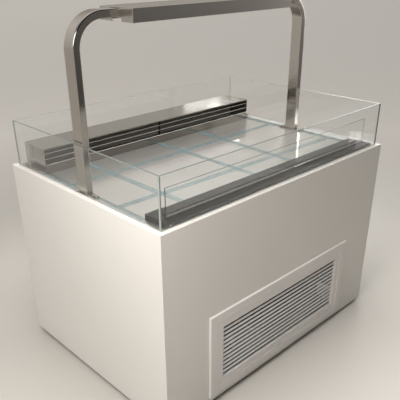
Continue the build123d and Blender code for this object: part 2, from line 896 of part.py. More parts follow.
with BuildPart() as gantry_bolts:
    with BuildSketch(Plane.XY.offset(foot_top)):
        with GridLocations(2 * post_x, 2 * bolt_y, 2, 2):
            RegularPolygon(bolt_flat, 6, major_radius=False)
    extrude(amount=bolt_head)
    with BuildSketch(Plane.XY.offset(foot_top)):
        with GridLocations(2 * post_x, 2 * bolt_y, 2, 2):
            RegularPolygon(bolt_radius, bolt_sides)
    extrude(amount=-foot_plate_height - steel)
save(gantry_bolts.part, "gantry_bolts")

# Lamp box that drops over the tube ends: sheet housing, light board, diffuser on a turned-in lip
lamp_z = overall_height - lamp_height
lamp_half = lamp_length / 2
lamp_half_y = lamp_width / 2

with BuildPart() as lamp_housing:
    extrude(flat_face(lamp_z, -lamp_half, lamp_half, -lamp_half_y, lamp_half_y), amount=lamp_height)
    offset(amount=-steel, openings=lamp_housing.faces().sort_by(Axis.Z)[0])
    chamfer(lamp_housing.edges().filter_by(Axis.Z).group_by(SortBy.LENGTH)[-1], lamp_edge)
    chamfer(lamp_housing.faces().sort_by(Axis.Z)[-1].outer_wire().edges(), lamp_edge)
    extrude(ring_face(lamp_z, lamp_half - lip_bite, lamp_half_y - lip_bite, lamp_lip - lip_bite), amount=steel)
    extrude(side_face(-tube_wide / 2 - slip_gap, tube_wide / 2 + slip_gap,
                      lamp_z, tube_z + tube_thick / 2 + slip_gap),
            amount=lamp_half, both=True, mode=Mode.SUBTRACT)
save(lamp_housing.part, "lamp_housing")

light_x = tube_end_x - light_board_end_room
lamp_roof = overall_height - steel
light_z = lamp_roof - light_board_sheet
with BuildPart() as light_board:
    extrude(flat_face(light_z, -light_x, light_x, -light_board_width / 2, light_board_width / 2),
            amount=light_board_sheet)
    with BuildSketch(Plane.XY.offset(light_z)):
        with GridLocations(1, lamp_row_pitch, 1, lamp_row_count):
            Rectangle(2 * (light_x - light_board_end_room), lamp_row_width)
    extrude(amount=-lamp_row_height)
save(light_board.part, "light_board")

with BuildPart() as lamp_diffuser:
    diffuser_x = tube_end_x - diffuser_end_room
    diffuser_y = lamp_half_y - steel - slip_gap
    extrude(flat_face(lamp_z + steel, -diffuser_x, diffuser_x, -diffuser_y, diffuser_y), amount=diffuser_sheet)
save(lamp_diffuser.part, "lamp_diffuser")

# Front grille: proud surround with a collar through the panel and a stop lip behind the door
face_y = -half_y - grille_proud
door_face_y = face_y + door_recess
door_back_y = door_face_y + door_thickness
door_mid_y = (door_face_y + door_back_y) / 2
door_x = opening_x - 2 * door_gap
door_z = opening_z - 2 * door_gap
hinge_x = door_x / 2 - hinge_inset
hinge_y = door_face_y + hinge_set
lip_y = door_back_y + slip_gap


def grille_surround():
    """The proud frame with its collar, on the front of the cabinet."""
    with BuildPart() as surround:
        extrude(front_face(-half_y, grille_length, grille_height, grille_z, opening_x, opening_z),
                amount=grille_proud)
        chamfer(surround.faces().sort_by(Axis.Y)[0].outer_wire().edges(), surround_edge)
        extrude(front_face(-half_y, collar_x, collar_z, grille_z, opening_x, opening_z),
                amount=touch_gap - panel_thickness)
    return surround.part


def pin_face(z, radius, inside=True):
    """Section of a hinge pin or of its bore, lying flat at height z."""
    with BuildSketch(Plane.XY.offset(z)) as face:
        with Locations((hinge_x, hinge_y)):
            RegularPolygon(radius, round_sides, major_radius=inside)
    return face.sketch


with BuildPart() as grille_frame:
    add(grille_surround())
    with BuildSketch(Plane.XZ.offset(-lip_y)):
        lip_end = hinge_x - lip_clear_of_hinge
        lip_length = lip_end + opening_x / 2
        with Locations(((lip_end - opening_x / 2) / 2, grille_z)):
            Rectangle(lip_length, opening_z)
        with Locations(((lip_end - opening_x / 2 + stop_lip) / 2, grille_z)):
            Rectangle(lip_length - stop_lip, opening_z - 2 * stop_lip, mode=Mode.SUBTRACT)
    extrude(amount=-lip_sheet)
    for bore_z in (grille_z - opening_z / 2 - pin_in_frame, grille_z + opening_z / 2):
        extrude(pin_face(bore_z, pin_radius), amount=pin_in_frame, mode=Mode.SUBTRACT)
save(grille_frame.part, "grille_frame")

# Grille door: bordered louvre with softened front edges, bored for the pins
louvre_x = door_x - 2 * door_border
louvre_z = door_z - 2 * door_border
louvre_reach = louvre_x / 2 + blade_bite
louvre_low = grille_z - louvre_z / 2
louvre_high = grille_z + louvre_z / 2

with BuildPart() as grille_door:
    extrude(front_face(door_face_y, door_x, door_z, grille_z, louvre_x, louvre_z), amount=-door_thickness)
    chamfer(grille_door.faces().sort_by(Axis.Y)[0].outer_wire().edges(), door_edge)
    extrude(louvre_faces(door_mid_y, louvre_low, louvre_high), amount=louvre_reach, both=True)
    for bore_z in (grille_z - door_z / 2, grille_z + door_z / 2 - pin_in_door):
        extrude(pin_face(bore_z, pin_radius + running_gap, inside=False), amount=pin_in_door, mode=Mode.SUBTRACT)
save(grille_door.part, "grille_door")

with BuildPart() as door_pins:
    pin_length = pin_in_frame + door_gap + pin_in_door - pin_end_room
    for pin_z in (grille_z - opening_z / 2 - pin_in_frame, grille_z + opening_z / 2 + pin_in_frame - pin_length):
        extrude(pin_face(pin_z, pin_radius), amount=pin_length)
save(door_pins.part, "door_pins")

with BuildPart() as door_magnets:
    magnet_x = (stop_lip - opening_x) / 2
    magnet_y = lip_y + lip_sheet + magnet_depth / 2
    with Locations((magnet_x, magnet_y, grille_z - magnet_spread), (magnet_x, magnet_y, grille_z + magnet_spread)):
        Box(magnet_width, magnet_depth, magnet_length)
save(door_magnets.part, "door_magnets")

# Outlet grille at the back, the same surround with a fixed louvre
with BuildPart() as rear_master:
    add(grille_surround())
    extrude(front_face(door_face_y, opening_x, opening_z, grille_z, louvre_x, louvre_z), amount=-door_thickness)
    extrude(louvre_faces(door_mid_y, louvre_low, louvre_high), amount=louvre_reach, both=True)
with BuildPart() as rear_grille:
    mirror(rear_master.part, about=Plane.XZ)
save(rear_grille.part, "rear_grille")

# Condensing unit: tray on the cross rails
unit_x = cross_rail_x + unit_overhang
with BuildPart() as unit_tray:
    extrude(flat_face(unit_z, -unit_x, unit_x, unit_front, unit_back), amount=tray_edge)
    offset(amount=-frame_sheet, openings=unit_tray.faces().sort_by(Axis.Z)[-1])
save(unit_tray.part, "unit_tray")

# Compressor: welded can on a foot plate, rubber mounts, terminal cover
can_y = unit_back - can_inset
plate_z = bench_z + mount_height
can_z = plate_z + can_plate
discharge_z = can_z + can_discharge
suction_z = can_z + can_suction
spigot_tip = can_radius + can_spigot
spigot_length = can_spigot + can_spigot_root

with BuildPart() as compressor:
    with BuildSketch(Plane.XY.offset(can_z)):
        with Locations((can_x, can_y)):
            RegularPolygon(can_radius, can_sides)
    extrude(amount=can_height)
    chamfer(compressor.edges().group_by(Axis.Z)[-1], can_crown)
    chamfer(compressor.edges().group_by(Axis.Z)[0], can_heel)
    with Locations((can_x, can_y, plate_z + can_plate / 2)):
        Box(can_plate_length, can_plate_depth, can_plate)
    with Locations((can_x + can_radius + cover_set, can_y, can_z + cover_rise)):
        Box(cover_width, cover_depth, cover_height)
    with BuildSketch(Plane.XZ.offset(spigot_tip - can_y)):
        with Locations((can_x, discharge_z)):
            RegularPolygon(socket_radius, socket_sides)
    extrude(amount=-spigot_length)
    with BuildSketch(Plane.YZ.offset(can_x - spigot_tip)):
        with Locations((can_y, suction_z)):
            RegularPolygon(socket_radius, socket_sides)
    extrude(amount=spigot_length)
save(compressor.part, "compressor")

with BuildPart() as compressor_mounts:
    with BuildSketch(Plane.XY.offset(bench_z)):
        with Locations((can_x, can_y)):
            with GridLocations(mount_pitch_x, mount_pitch_y, 2, 2):
                RegularPolygon(mount_radius, round_sides)
    extrude(amount=mount_height)
save(compressor_mounts.part, "compressor_mounts")

# Condenser: finned block with end plates and return bends
condenser_front = unit_front + condenser_inset
condenser_back = condenser_front + condenser_depth
condenser_y = (condenser_front + condenser_back) / 2
condenser_z = bench_z + condenser_height / 2
condenser_end = condenser_x - condenser_length / 2
condenser_far = condenser_x + condenser_length / 2
inlet_z = bench_z + condenser_height - condenser_inlet_drop
outlet_z = bench_z + condenser_outlet_rise
block_height = condenser_height - 2 * condenser_foot

with BuildPart() as condenser_coil:
    extrude(flat_face(bench_z + condenser_foot, condenser_end + condenser_plate, condenser_far - condenser_plate,
                      condenser_front + condenser_face_set, condenser_back - condenser_face_set),
            amount=block_height)
    condenser_fins = int((condenser_length - 4 * condenser_plate) // condenser_fin_pitch)
    with BuildSketch(Plane.XZ.offset(-condenser_front)):
        with Locations((condenser_x, condenser_z)):
            with GridLocations(condenser_fin_pitch, 1, condenser_fins, 1):
                Rectangle(condenser_fin_pitch - fin_sheet, block_height - 2 * condenser_fin_rim)
    extrude(amount=-condenser_depth, mode=Mode.SUBTRACT)
    for plate_x in (condenser_end, condenser_far - condenser_plate):
        with BuildSketch(Plane.YZ.offset(plate_x)):
            with Locations((condenser_y, condenser_z)):
                Rectangle(condenser_depth, condenser_height)
        extrude(amount=condenser_plate)
    for bend_z in (condenser_z - condenser_bend_rise, condenser_z + condenser_bend_rise):
        bend_plane = Plane(origin=(condenser_far, condenser_y, bend_z), x_dir=(1, 0, 0), z_dir=(0, 1, 0))
        extrude(return_bend(bend_plane, condenser_bend), amount=bend_tube, both=True)
    with BuildSketch(Plane.YZ.offset(condenser_end)):
        with Locations((condenser_y, inlet_z), (condenser_y, outlet_z)):
            RegularPolygon(socket_radius, socket_sides)
    extrude(amount=-pipe_stub)
save(condenser_coil.part, "condenser_coil")

# Fan shroud, motor on a strap, condenser fan
shroud_back = condenser_back + shroud_depth
with BuildPart() as fan_shroud:
    extrude(flat_face(bench_z, condenser_end, condenser_far, condenser_back, shroud_back), amount=condenser_height)
    offset(amount=-frame_sheet, openings=fan_shroud.faces().sort_by(Axis.Y)[0])
    with BuildSketch(Plane.XZ.offset(-shroud_back)):
        with Locations((condenser_x, condenser_z)):
            RegularPolygon(fan_radius + shroud_ring, shroud_sides, major_radius=False)
    extrude(amount=frame_sheet, mode=Mode.SUBTRACT)
save(fan_shroud.part, "fan_shroud")

fan_plane = Plane(origin=(condenser_x, shroud_back, condenser_z), x_dir=(1, 0, 0), z_dir=(0, 1, 0))
condenser_fan = axial_fan(fan_plane, fan_radius, fan_hub, fan_width, fan_blade_tilt, fan_shaft + running_gap)
save(condenser_fan, "condenser_fan")

strap_back = shroud_back + fan_strap_set
fan_strap_reach = fan_radius + fan_strap_margin
leg_z = fan_strap_reach - strap_leg / 2
with BuildPart() as condenser_motor:
    with BuildSketch(Plane.XZ.offset(-strap_back - strap_sheet)):
        with Locations((condenser_x, condenser_z)):
            RegularPolygon(fan_motor_radius, fan_motor_sides)
    extrude(amount=-fan_motor_length)
    with Locations((condenser_x, strap_back + strap_sheet / 2, condenser_z)):
        Box(fan_strap_width, strap_sheet, 2 * fan_strap_reach)
    with Locations((condenser_x, shroud_back + fan_strap_set / 2, condenser_z - leg_z),
                   (condenser_x, shroud_back + fan_strap_set / 2, condenser_z + leg_z)):
        Box(fan_strap_width, fan_strap_set, strap_leg)
    with BuildSketch(Plane.XZ.offset(-strap_back - strap_sheet)):
        with Locations((condenser_x, condenser_z)):
            RegularPolygon(fan_shaft, round_sides)
    extrude(amount=fan_shaft_reach)
save(condenser_motor.part, "condenser_motor")

# Copper pipework: straight runs joined by bends, with a drier in the liquid line
liquid_z = tub_base - liquid_run_drop
suction_run_z = liquid_z - suction_run_drop
liquid_x = condenser_end - liquid_line_room
suction_x = can_x - suction_line_room
coil_stub_x = -coil_x - coil_plate - pipe_stub
bend_middle = 1 - 0.5 ** 0.5
pipe_routes = [
    [(can_x, can_y - spigot_tip, discharge_z), (can_x, condenser_y, discharge_z),
     (can_x, condenser_y, inlet_z), (condenser_end - pipe_stub, condenser_y, inlet_z)],
    [(condenser_end - pipe_stub, condenser_y, outlet_z), (liquid_x, condenser_y, outlet_z),
     (liquid_x, liquid_y, outlet_z), (liquid_x, liquid_y, liquid_z),
     (pipe_x, liquid_y, liquid_z), (pipe_x, liquid_y, stub_z), (coil_stub_x, liquid_y, stub_z)],
    [(coil_stub_x, suction_y, stub_z), (pipe_x, suction_y, stub_z),
     (pipe_x, suction_y, suction_run_z), (suction_x, suction_y, suction_run_z),
     (suction_x, suction_y, suction_z), (suction_x, can_y, suction_z),
     (can_x - spigot_tip, can_y, suction_z)],
]


def bent_route(points):
    """A pipe's centre line: each square corner becomes a bend of two short chords."""
    corners = [Vector(*point) for point in points]
    line = [corners[0]]
    for before, corner, after in zip(corners, corners[1:], corners[2:]):
        back = (before - corner).normalized() * pipe_bend
        ahead = (after - corner).normalized() * pipe_bend
        line += [corner + back, corner + (back + ahead) * bend_middle, corner + ahead]
    return line + [corners[-1]]


with BuildPart() as refrigerant_pipes:
    for route in pipe_routes:
        with BuildLine() as route_line:
            Polyline(*bent_route(route))
        route_start = Plane(origin=route[0], z_dir=Vector(*route[1]) - Vector(*route[0]))
        with BuildSketch(route_start):
            RegularPolygon(pipe_radius, pipe_sides)
        sweep(path=route_line.line, transition=Transition.RIGHT)
    with BuildSketch(Plane.XY.offset(bench_z + drier_rise)):
        with Locations((liquid_x, liquid_y)):
            RegularPolygon(drier_radius, round_sides)
    extrude(amount=drier_length)
save(refrigerant_pipes.part, "refrigerant_pipes")

# Condensate pan under the drain
with BuildPart() as drain_pan:
    extrude(flat_face(bench_z, drain_x - pan_length / 2, drain_x + pan_length / 2,
                      drain_y - pan_front_room, drain_y + pan_back_room), amount=pan_height)
    chamfer(drain_pan.edges().filter_by(Axis.Z), pan_corner)
    offset(amount=-pan_wall, openings=drain_pan.faces().sort_by(Axis.Z)[-1])
save(drain_pan.part, "drain_pan")

# Control box behind the grille door, with its rocker switch and dial
box_front = unit_front + box_inset
control_z = bench_z + control_rise
switch_x = box_x - switch_from_middle
switch_y = box_front + switch_pivot_set
dial_x = box_x + dial_from_middle


def trunnion_face(radius, inside=True):
    """Section of the rocker's trunnions or of their bores."""
    with BuildSketch(Plane.YZ.offset(switch_x)) as face:
        with Locations((switch_y, control_z)):
            RegularPolygon(radius, round_sides, major_radius=inside)
    return face.sketch


with BuildPart() as control_box:
    extrude(flat_face(bench_z, box_x - box_length / 2, box_x + box_length / 2, box_front, box_front + box_depth),
            amount=box_height)
    chamfer(control_box.edges().filter_by(Axis.Z), box_corner)
    with Locations((switch_x, box_front + switch_well_depth / 2, control_z)):
        Box(switch_well_width, switch_well_depth, switch_well_height, mode=Mode.SUBTRACT)
    extrude(trunnion_face(trunnion_radius + running_gap, inside=False), amount=trunnion_reach + trunnion_end_room,
            both=True, mode=Mode.SUBTRACT)
    with BuildSketch(Plane.XZ.offset(-box_front)):
        with Locations((dial_x, control_z)):
            RegularPolygon(dial_shaft + running_gap, round_sides, major_radius=False)
    extrude(amount=-dial_bore_length, mode=Mode.SUBTRACT)
save(control_box.part, "control_box")

rocker_plane = Plane(origin=(switch_x, switch_y, control_z), x_dir=(1, 0, 0), z_dir=(0, -1, rocker_lean))
with BuildPart(rocker_plane) as power_switch:
    Box(rocker_width, rocker_height, rocker_depth)
    chamfer(power_switch.edges().filter_by(Axis.X), rocker_edge)
    extrude(trunnion_face(trunnion_radius), amount=trunnion_reach, both=True)
save(power_switch.part, "power_switch")

dial_plane = Plane(origin=(dial_x, box_front - slip_gap, control_z), x_dir=(1, 0, 0), z_dir=(0, -1, 0))
with BuildPart(dial_plane) as thermostat_dial:
    with BuildSketch(dial_plane):
        RegularPolygon(dial_radius, dial_sides)
    extrude(amount=dial_height, taper=dial_draft)
    with BuildSketch(dial_plane.offset(dial_height)):
        Rectangle(dial_bar_width, dial_bar_length)
    extrude(amount=dial_bar_height)
    with BuildSketch(dial_plane):
        RegularPolygon(dial_shaft, round_sides)
    extrude(amount=-dial_shaft_length)
save(thermostat_dial.part, "thermostat_dial")

# Cable gland low on the back panel: hexagon head, threaded barrel, nut inside, open hole
gland_plane = Plane(origin=(gland_x, half_y, gland_z), x_dir=(1, 0, 0), z_dir=(0, 1, 0))
with BuildPart() as cable_gland:
    with BuildSketch(gland_plane):
        RegularPolygon(gland_hex, 6)
    extrude(amount=gland_head)
    with BuildSketch(gland_plane):
        RegularPolygon(gland_radius, round_sides)
    extrude(amount=-panel_thickness)
    with BuildSketch(gland_plane.offset(-panel_thickness)):
        RegularPolygon(gland_hex, 6)
    extrude(amount=-gland_nut)
    with BuildSketch(gland_plane.offset(gland_hole_spare)):
        RegularPolygon(gland_hole, round_sides)
    extrude(amount=-panel_thickness - 2 * gland_hole_spare, mode=Mode.SUBTRACT)
save(cable_gland.part, "cable_gland")
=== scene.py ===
# %% [markdown]
# # A refrigerated island display
# The real object is a white board cabinet with an open, chilled deck on top. A frameless
# glass guard stands around the deck, a bent steel gantry carries a lamp over it, and a
# louvred grille low on the front lets the machine breathe.
#
# Every rigid piece already exists as a measured solid, so this lesson loads those solids,
# lights them, gives each one its real finish, and rebuilds the pieces whose roundness or
# fineness matters to the eye. Lengths are in metres, the front is at -Y, the floor at zero.

# %% Load the solids
import json
import math
import random

import bmesh
import bpy
from mathutils import Matrix, Vector

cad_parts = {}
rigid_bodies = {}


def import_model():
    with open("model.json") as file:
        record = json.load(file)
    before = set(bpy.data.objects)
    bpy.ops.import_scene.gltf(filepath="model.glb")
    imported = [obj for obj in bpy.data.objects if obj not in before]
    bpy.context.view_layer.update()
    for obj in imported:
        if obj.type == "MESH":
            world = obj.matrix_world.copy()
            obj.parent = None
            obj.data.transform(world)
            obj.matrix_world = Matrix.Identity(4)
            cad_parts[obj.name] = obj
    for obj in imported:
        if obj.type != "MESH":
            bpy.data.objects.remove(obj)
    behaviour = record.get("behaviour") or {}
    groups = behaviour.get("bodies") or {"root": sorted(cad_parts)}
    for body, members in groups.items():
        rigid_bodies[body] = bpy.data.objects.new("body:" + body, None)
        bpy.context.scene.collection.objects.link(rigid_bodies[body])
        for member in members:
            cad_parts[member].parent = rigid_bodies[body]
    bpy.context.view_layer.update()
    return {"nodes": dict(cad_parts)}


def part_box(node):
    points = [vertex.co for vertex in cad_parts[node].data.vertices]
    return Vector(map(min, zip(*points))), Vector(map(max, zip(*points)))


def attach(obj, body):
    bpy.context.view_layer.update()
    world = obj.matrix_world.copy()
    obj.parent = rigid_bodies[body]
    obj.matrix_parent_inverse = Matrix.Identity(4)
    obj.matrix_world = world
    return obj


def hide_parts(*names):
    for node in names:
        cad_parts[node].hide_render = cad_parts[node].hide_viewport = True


for leftover in list(bpy.data.objects):
    bpy.data.objects.remove(leftover)

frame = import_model()
solids = frame["nodes"]
stage = bpy.context.scene
mm = 0.001

# %% [markdown]
# ## The viewpoint
# The picture of the real display was taken from standing height near its front left
# corner. A camera can be aimed with a tracking constraint, but a level, a heading and a
# tilt taken from the cabinet's own edges repeat that viewpoint more exactly.

# %% Set up the camera
image_width = 400
focal_pixels = 554.77
optical_centre = (197.45, 242.95)
eye = Vector((-1.7350, -1.7497, 1.6964))
heading, tilt, lean = (math.radians(angle) for angle in (46.116, -27.344, -0.462))


def add_object(name, data):
    """A new object in the scene."""
    thing = bpy.data.objects.new(name, data)
    stage.collection.objects.link(thing)
    return thing


ahead = Vector((math.cos(tilt) * math.cos(heading),
                math.cos(tilt) * math.sin(heading), math.sin(tilt)))
level = ahead.cross(Vector((0, 0, 1))).normalized()
upright = level.cross(ahead)
camera_right = level * math.cos(lean) + upright * math.sin(lean)
camera_up = upright * math.cos(lean) - level * math.sin(lean)

camera_data = bpy.data.cameras.new("viewpoint")
camera_data.sensor_fit = "HORIZONTAL"
camera_data.lens = focal_pixels / image_width * camera_data.sensor_width
camera_data.shift_x = 0.5 - optical_centre[0] / image_width
camera_data.shift_y = optical_centre[1] / image_width - 0.5
camera = add_object("viewpoint", camera_data)
facing = Matrix((camera_right, camera_up, -ahead)).transposed().to_4x4()
camera.matrix_world = Matrix.Translation(eye) @ facing
stage.camera = camera
stage.view_settings.view_transform = "Standard"
print("lens", round(camera_data.lens, 2), "mm")

# %% [markdown]
# ## Small helpers for finishes
# A finish is a small network of nodes: a pattern in object space, a ramp that turns it
# into colour or roughness, and a bump. Image textures would need files, so everything is
# worked out from noise. The solids sit at the origin, so object space is real metres.

# %% Helpers that wire nodes
def feed(tree, node, inputs):
    """Set a node's inputs: to constants, or to what other nodes give."""
    for name, value in inputs.items():
        if isinstance(value, bpy.types.NodeSocket):
            tree.links.new(value, node.inputs[name])
        else:
            node.inputs[name].default_value = value
    return node


def add_node(tree, kind, inputs, operation=None):
    """A new node with its inputs set and, where it has one, its operation."""
    node = tree.nodes.new(kind)
    if operation:
        node.operation = operation
    return feed(tree, node, inputs)


def reckon(tree, operation, *values):
    """One sum on one or two numbers."""
    return add_node(tree, "ShaderNodeMath", dict(enumerate(values)), operation).outputs["Value"]


def where(tree, kind="Object"):
    """A point's place in metres or, as its Normal, the way that its surface points."""
    return tree.nodes.new("ShaderNodeTexCoord").outputs[kind]


def reach_along(tree, vector, axis):
    """How far a vector reaches along an axis."""
    dot = add_node(tree, "ShaderNodeVectorMath", {0: vector, 1: axis}, "DOT_PRODUCT")
    return dot.outputs["Value"]


def blend(tree, factor, first, second):
    """Go from one colour to another by a factor."""
    mix = tree.nodes.new("ShaderNodeMix")
    mix.data_type = "RGBA"
    return feed(tree, mix, {"Factor": factor, "A": first, "B": second}).outputs["Result"]


def mix_shaders(tree, factor, first, second):
    """Go from one surface or light to another by a factor."""
    mix = add_node(tree, "ShaderNodeMixShader", {"Fac": factor, 1: first, 2: second})
    return mix.outputs["Shader"]


print("wiring helpers ready")

# %% Helpers that draw patterns
def noise(tree, scale, stretch=(1, 1, 1), detail=4, rough=0.55):
    """A noise pattern measured in metres, drawn out along some axes by stretch."""
    spread = add_node(tree, "ShaderNodeMapping", {"Vector": where(tree), "Scale": stretch})
    pattern = add_node(tree, "ShaderNodeTexNoise", {
        "Vector": spread.outputs["Vector"], "Scale": scale, "Detail": detail, "Roughness": rough})
    return pattern.outputs["Fac"]


def between(tree, factor, low, high, start=0.3, stop=0.7):
    """Map a pattern from its useful middle range on to two values."""
    span = add_node(tree, "ShaderNodeMapRange", {
        "Value": factor, "From Min": start, "From Max": stop, "To Min": low, "To Max": high})
    return span.outputs["Result"]


def tint(tree, factor, first, second, start=0.3, stop=0.7):
    """Blend two colours by a pattern."""
    ramp = add_node(tree, "ShaderNodeValToRGB", {"Fac": factor})
    low, high = ramp.color_ramp.elements
    low.position, low.color = start, (*first, 1)
    high.position, high.color = stop, (*second, 1)
    return ramp.outputs["Color"]


print("pattern helpers ready")

# %% Helpers that make finishes
def start_finish(name):
    """A fresh material with its tree and its surface shader."""
    finish = bpy.data.materials.get(name) or bpy.data.materials.new(name)
    finish.use_nodes = True
    tree = finish.node_tree
    tree.nodes.clear()
    shader = tree.nodes.new("ShaderNodeBsdfPrincipled")
    add_node(tree, "ShaderNodeOutputMaterial", {"Surface": shader.outputs["BSDF"]})
    return finish, tree, shader


def emboss(tree, shader, height, strength, depth):
    """Let a pattern raise the surface a little."""
    bump = add_node(tree, "ShaderNodeBump", {
        "Height": height, "Strength": strength, "Distance": depth})
    tree.links.new(bump.outputs["Normal"], shader.inputs["Normal"])


def coat(name, colours, gloss, grain, detail=2, metal=0.0):
    """A finish with soft patches of two colours, uneven gloss and a raised grain.

    Each starts with a scale: two colours, two roughnesses, or a strength and a depth follow.
    """
    finish, tree, shader = start_finish(name)
    feed(tree, shader, {"Base Color": tint(tree, noise(tree, colours[0]), *colours[1:]),
                        "Roughness": between(tree, noise(tree, gloss[0]), *gloss[1:]),
                        "Metallic": metal})
    emboss(tree, shader, noise(tree, grain[0], detail=detail), *grain[1:])
    return finish


def parts_of(finish):
    """The tree of a finish that is already made, and its surface shader."""
    tree = finish.node_tree
    return tree, tree.nodes["Principled BSDF"]


def paint_over(tree, shader, factor, colour):
    """Lay a plain colour over the finish's own, where the factor is one."""
    own = shader.inputs["Base Color"].links[0].from_socket
    feed(tree, shader, {"Base Color": blend(tree, factor, own, (*colour, 1))})


def dress(finish, *names):
    """Put a finish on solids, in their own material slot."""
    for name in names:
        solids[name].material_slots[0].material = finish


print("finish helpers ready")

# %% [markdown]
# ## Floor and light
# The display stands in a plain room whose left side and ceiling are bright and whose front
# is dim. A ring of lamps could copy that, but a dome that glows on one side and overhead is
# softer and gives polished steel a light side and a dark side, as in a real room. A broad
# lamp at the left adds the fall-off along the panels and one overhead lights the deck. The
# lamps at the right only shine on metal, glass and floor, and the smallest ones only show
# where something mirrors them, as ceiling lights do. The floor melts into the backdrop far
# away, and from below it can be looked through.

# %% Lay the floor
floor_reach = 160
backdrop = (0.56, 0.53, 0.48)
floor_painted_shade, floor_painted_light = (0.485, 0.464, 0.43), (0.61, 0.587, 0.548)
far_painted_left, far_painted_right = (0.97, 0.925, 0.865), (0.85, 0.81, 0.765)
floor_mesh = bpy.data.meshes.new("floor")
floor_mesh.from_pydata([(-floor_reach, -floor_reach, 0), (floor_reach, -floor_reach, 0),
                        (floor_reach, floor_reach, 0), (-floor_reach, floor_reach, 0)],
                       [], [(0, 1, 2, 3)])
floor = add_object("floor", floor_mesh)

floor_paint, tree, shader = start_finish("floor_paint")
how_far = add_node(tree, "ShaderNodeVectorMath", {0: where(tree)}, "LENGTH").outputs["Value"]
# Painted light: near the display the floor is painted lighter towards the front right, and far away
# lighter towards the back left. The noise adds tone.
towards_front = reach_along(tree, where(tree), (0.5, -0.8, 0))
painted_light_and_tone = reckon(tree, "ADD", between(tree, towards_front, 0.0, 0.9, -1, 1),
               between(tree, noise(tree, 0.9), 0.0, 0.1))
near_floor = tint(tree, painted_light_and_tone, floor_painted_shade, floor_painted_light, 0, 1)
across_room = between(tree, towards_front, 0, 1, -9, 3)
far_floor = tint(tree, across_room, far_painted_left, far_painted_right, 0, 1)
fade = between(tree, how_far, 0.0, 1.0, 2.0, 4.0)
feed(tree, shader, {"Base Color": blend(tree, fade, near_floor, far_floor),
                    "Roughness": between(tree, noise(tree, 7), 0.42, 0.55)})
floor_mesh.materials.append(floor_paint)
print("floor", floor_reach * 2, "m wide")

# %% Melt the floor into the backdrop
haze_starts, haze_ends = 27, 90
ray = tree.nodes.new("ShaderNodeLightPath")
haze_amount = reckon(tree, "MULTIPLY", between(tree, how_far, 0, 1, haze_starts, haze_ends),
                     ray.outputs["Is Camera Ray"])
haze = add_node(tree, "ShaderNodeEmission", {"Color": (*backdrop, 1)})
hazy_floor = mix_shaders(tree, haze_amount, shader.outputs["BSDF"], haze.outputs["Emission"])
from_below = tree.nodes.new("ShaderNodeNewGeometry").outputs["Backfacing"]
nothing = tree.nodes.new("ShaderNodeBsdfTransparent").outputs["BSDF"]
floor_output = next(node for node in tree.nodes if node.type == "OUTPUT_MATERIAL")
feed(tree, floor_output, {"Surface": mix_shaders(tree, from_below, hazy_floor, nothing)})
print("haze from", haze_starts, "to", haze_ends, "m")

# %% Hang the dome
bright_side = ((-0.95, 0.1, 0.25), 0.55, 0.98, (0.58, 0.57, 0.55))
ceiling = ((0, 0.05, 1), 0.72, 1.0, (0.76, 0.745, 0.72))
far_wall = ((0.5, 0.85, 0.15), 0.2, 0.9, (0.75, 0.72, 0.68))
back_left = ((-0.55, 0.83, 0.1), 0.6, 0.98, (0.26, 0.25, 0.235))
dome_base = (0.012, 0.012, 0.011)

dome = bpy.data.worlds.new("dome")
stage.world = dome
dome.use_nodes = True
tree = dome.node_tree
tree.nodes.clear()


def glow(colour, strength=1.0):
    """Even light of one colour."""
    light = add_node(tree, "ShaderNodeBackground", {"Color": (*colour, 1), "Strength": strength})
    return light.outputs["Background"]


def glow_towards(axis, start, stop, colour):
    """Light that grows smoothly towards one direction of the dome."""
    turned_to = reach_along(tree, where(tree, "Generated"), Vector(axis).normalized())
    ease = add_node(tree, "ShaderNodeMapRange", {
        "Value": turned_to, "From Min": start, "From Max": stop})
    ease.interpolation_type = "SMOOTHSTEP"
    return glow(colour, ease.outputs["Result"])


room_light = glow(dome_base)
for part_of_room in (bright_side, ceiling, far_wall, back_left):
    both = add_node(tree, "ShaderNodeAddShader", {0: room_light, 1: glow_towards(*part_of_room)})
    room_light = both.outputs["Shader"]
rays = tree.nodes.new("ShaderNodeLightPath").outputs
seen = reckon(tree, "MAXIMUM", rays["Is Camera Ray"], rays["Is Transmission Ray"])
add_node(tree, "ShaderNodeOutputWorld", {
    "Surface": mix_shaders(tree, seen, room_light, glow(backdrop))})
print("dome hung")

# %% Hang the lamps
warm_white, cool_white = (1.0, 0.965, 0.93), (1.0, 0.98, 0.96)


def area_lamp(name, place, aim, size, watts, colour):
    """A soft rectangular lamp that lights the scene but isn't seen by the camera."""
    data = bpy.data.lights.new(name, "AREA")
    data.shape = "RECTANGLE"
    data.size, data.size_y = size
    data.energy = watts
    data.color = colour
    lamp = add_object(name, data)
    lamp.location = place
    lamp.rotation_euler = (Vector(aim) - Vector(place)).to_track_quat("-Z", "Y").to_euler()
    lamp.visible_camera = False
    return lamp


for lamp_row in (("broad_lamp", (-1.55, -0.78, 1.75), (-0.7, -0.35, 0.75), (0.8, 0.8), 16),
                 ("top_lamp", (-0.1, -0.1, 2.7), (-0.1, -0.1, 0.9), (1.8, 1.2), 66)):
    fill_lamp = area_lamp(*lamp_row, warm_white)
    fill_lamp.visible_glossy = False
    fill_lamp.visible_transmission = False
near_lamp = area_lamp("near_lamp", (-1.5, -1.1, 1.9), (-0.65, -0.45, 0.7), (0.7, 0.7), 7,
                      warm_white)
near_lamp.visible_transmission = False
for lamp_row in (("right_lamp", (3.0, 1.03, 1.5), (1.0, 1.03, 0.8), (0.85, 1.0), 11.4),
                 ("front_right_lamp", (3.0, -0.87, 1.5), (1.0, -0.87, 0.8), (1.04, 1.0), 13.9)):
    shine_lamp = area_lamp(*lamp_row, cool_white)
    shine_lamp.visible_diffuse = False
    shine_lamp.visible_transmission = False

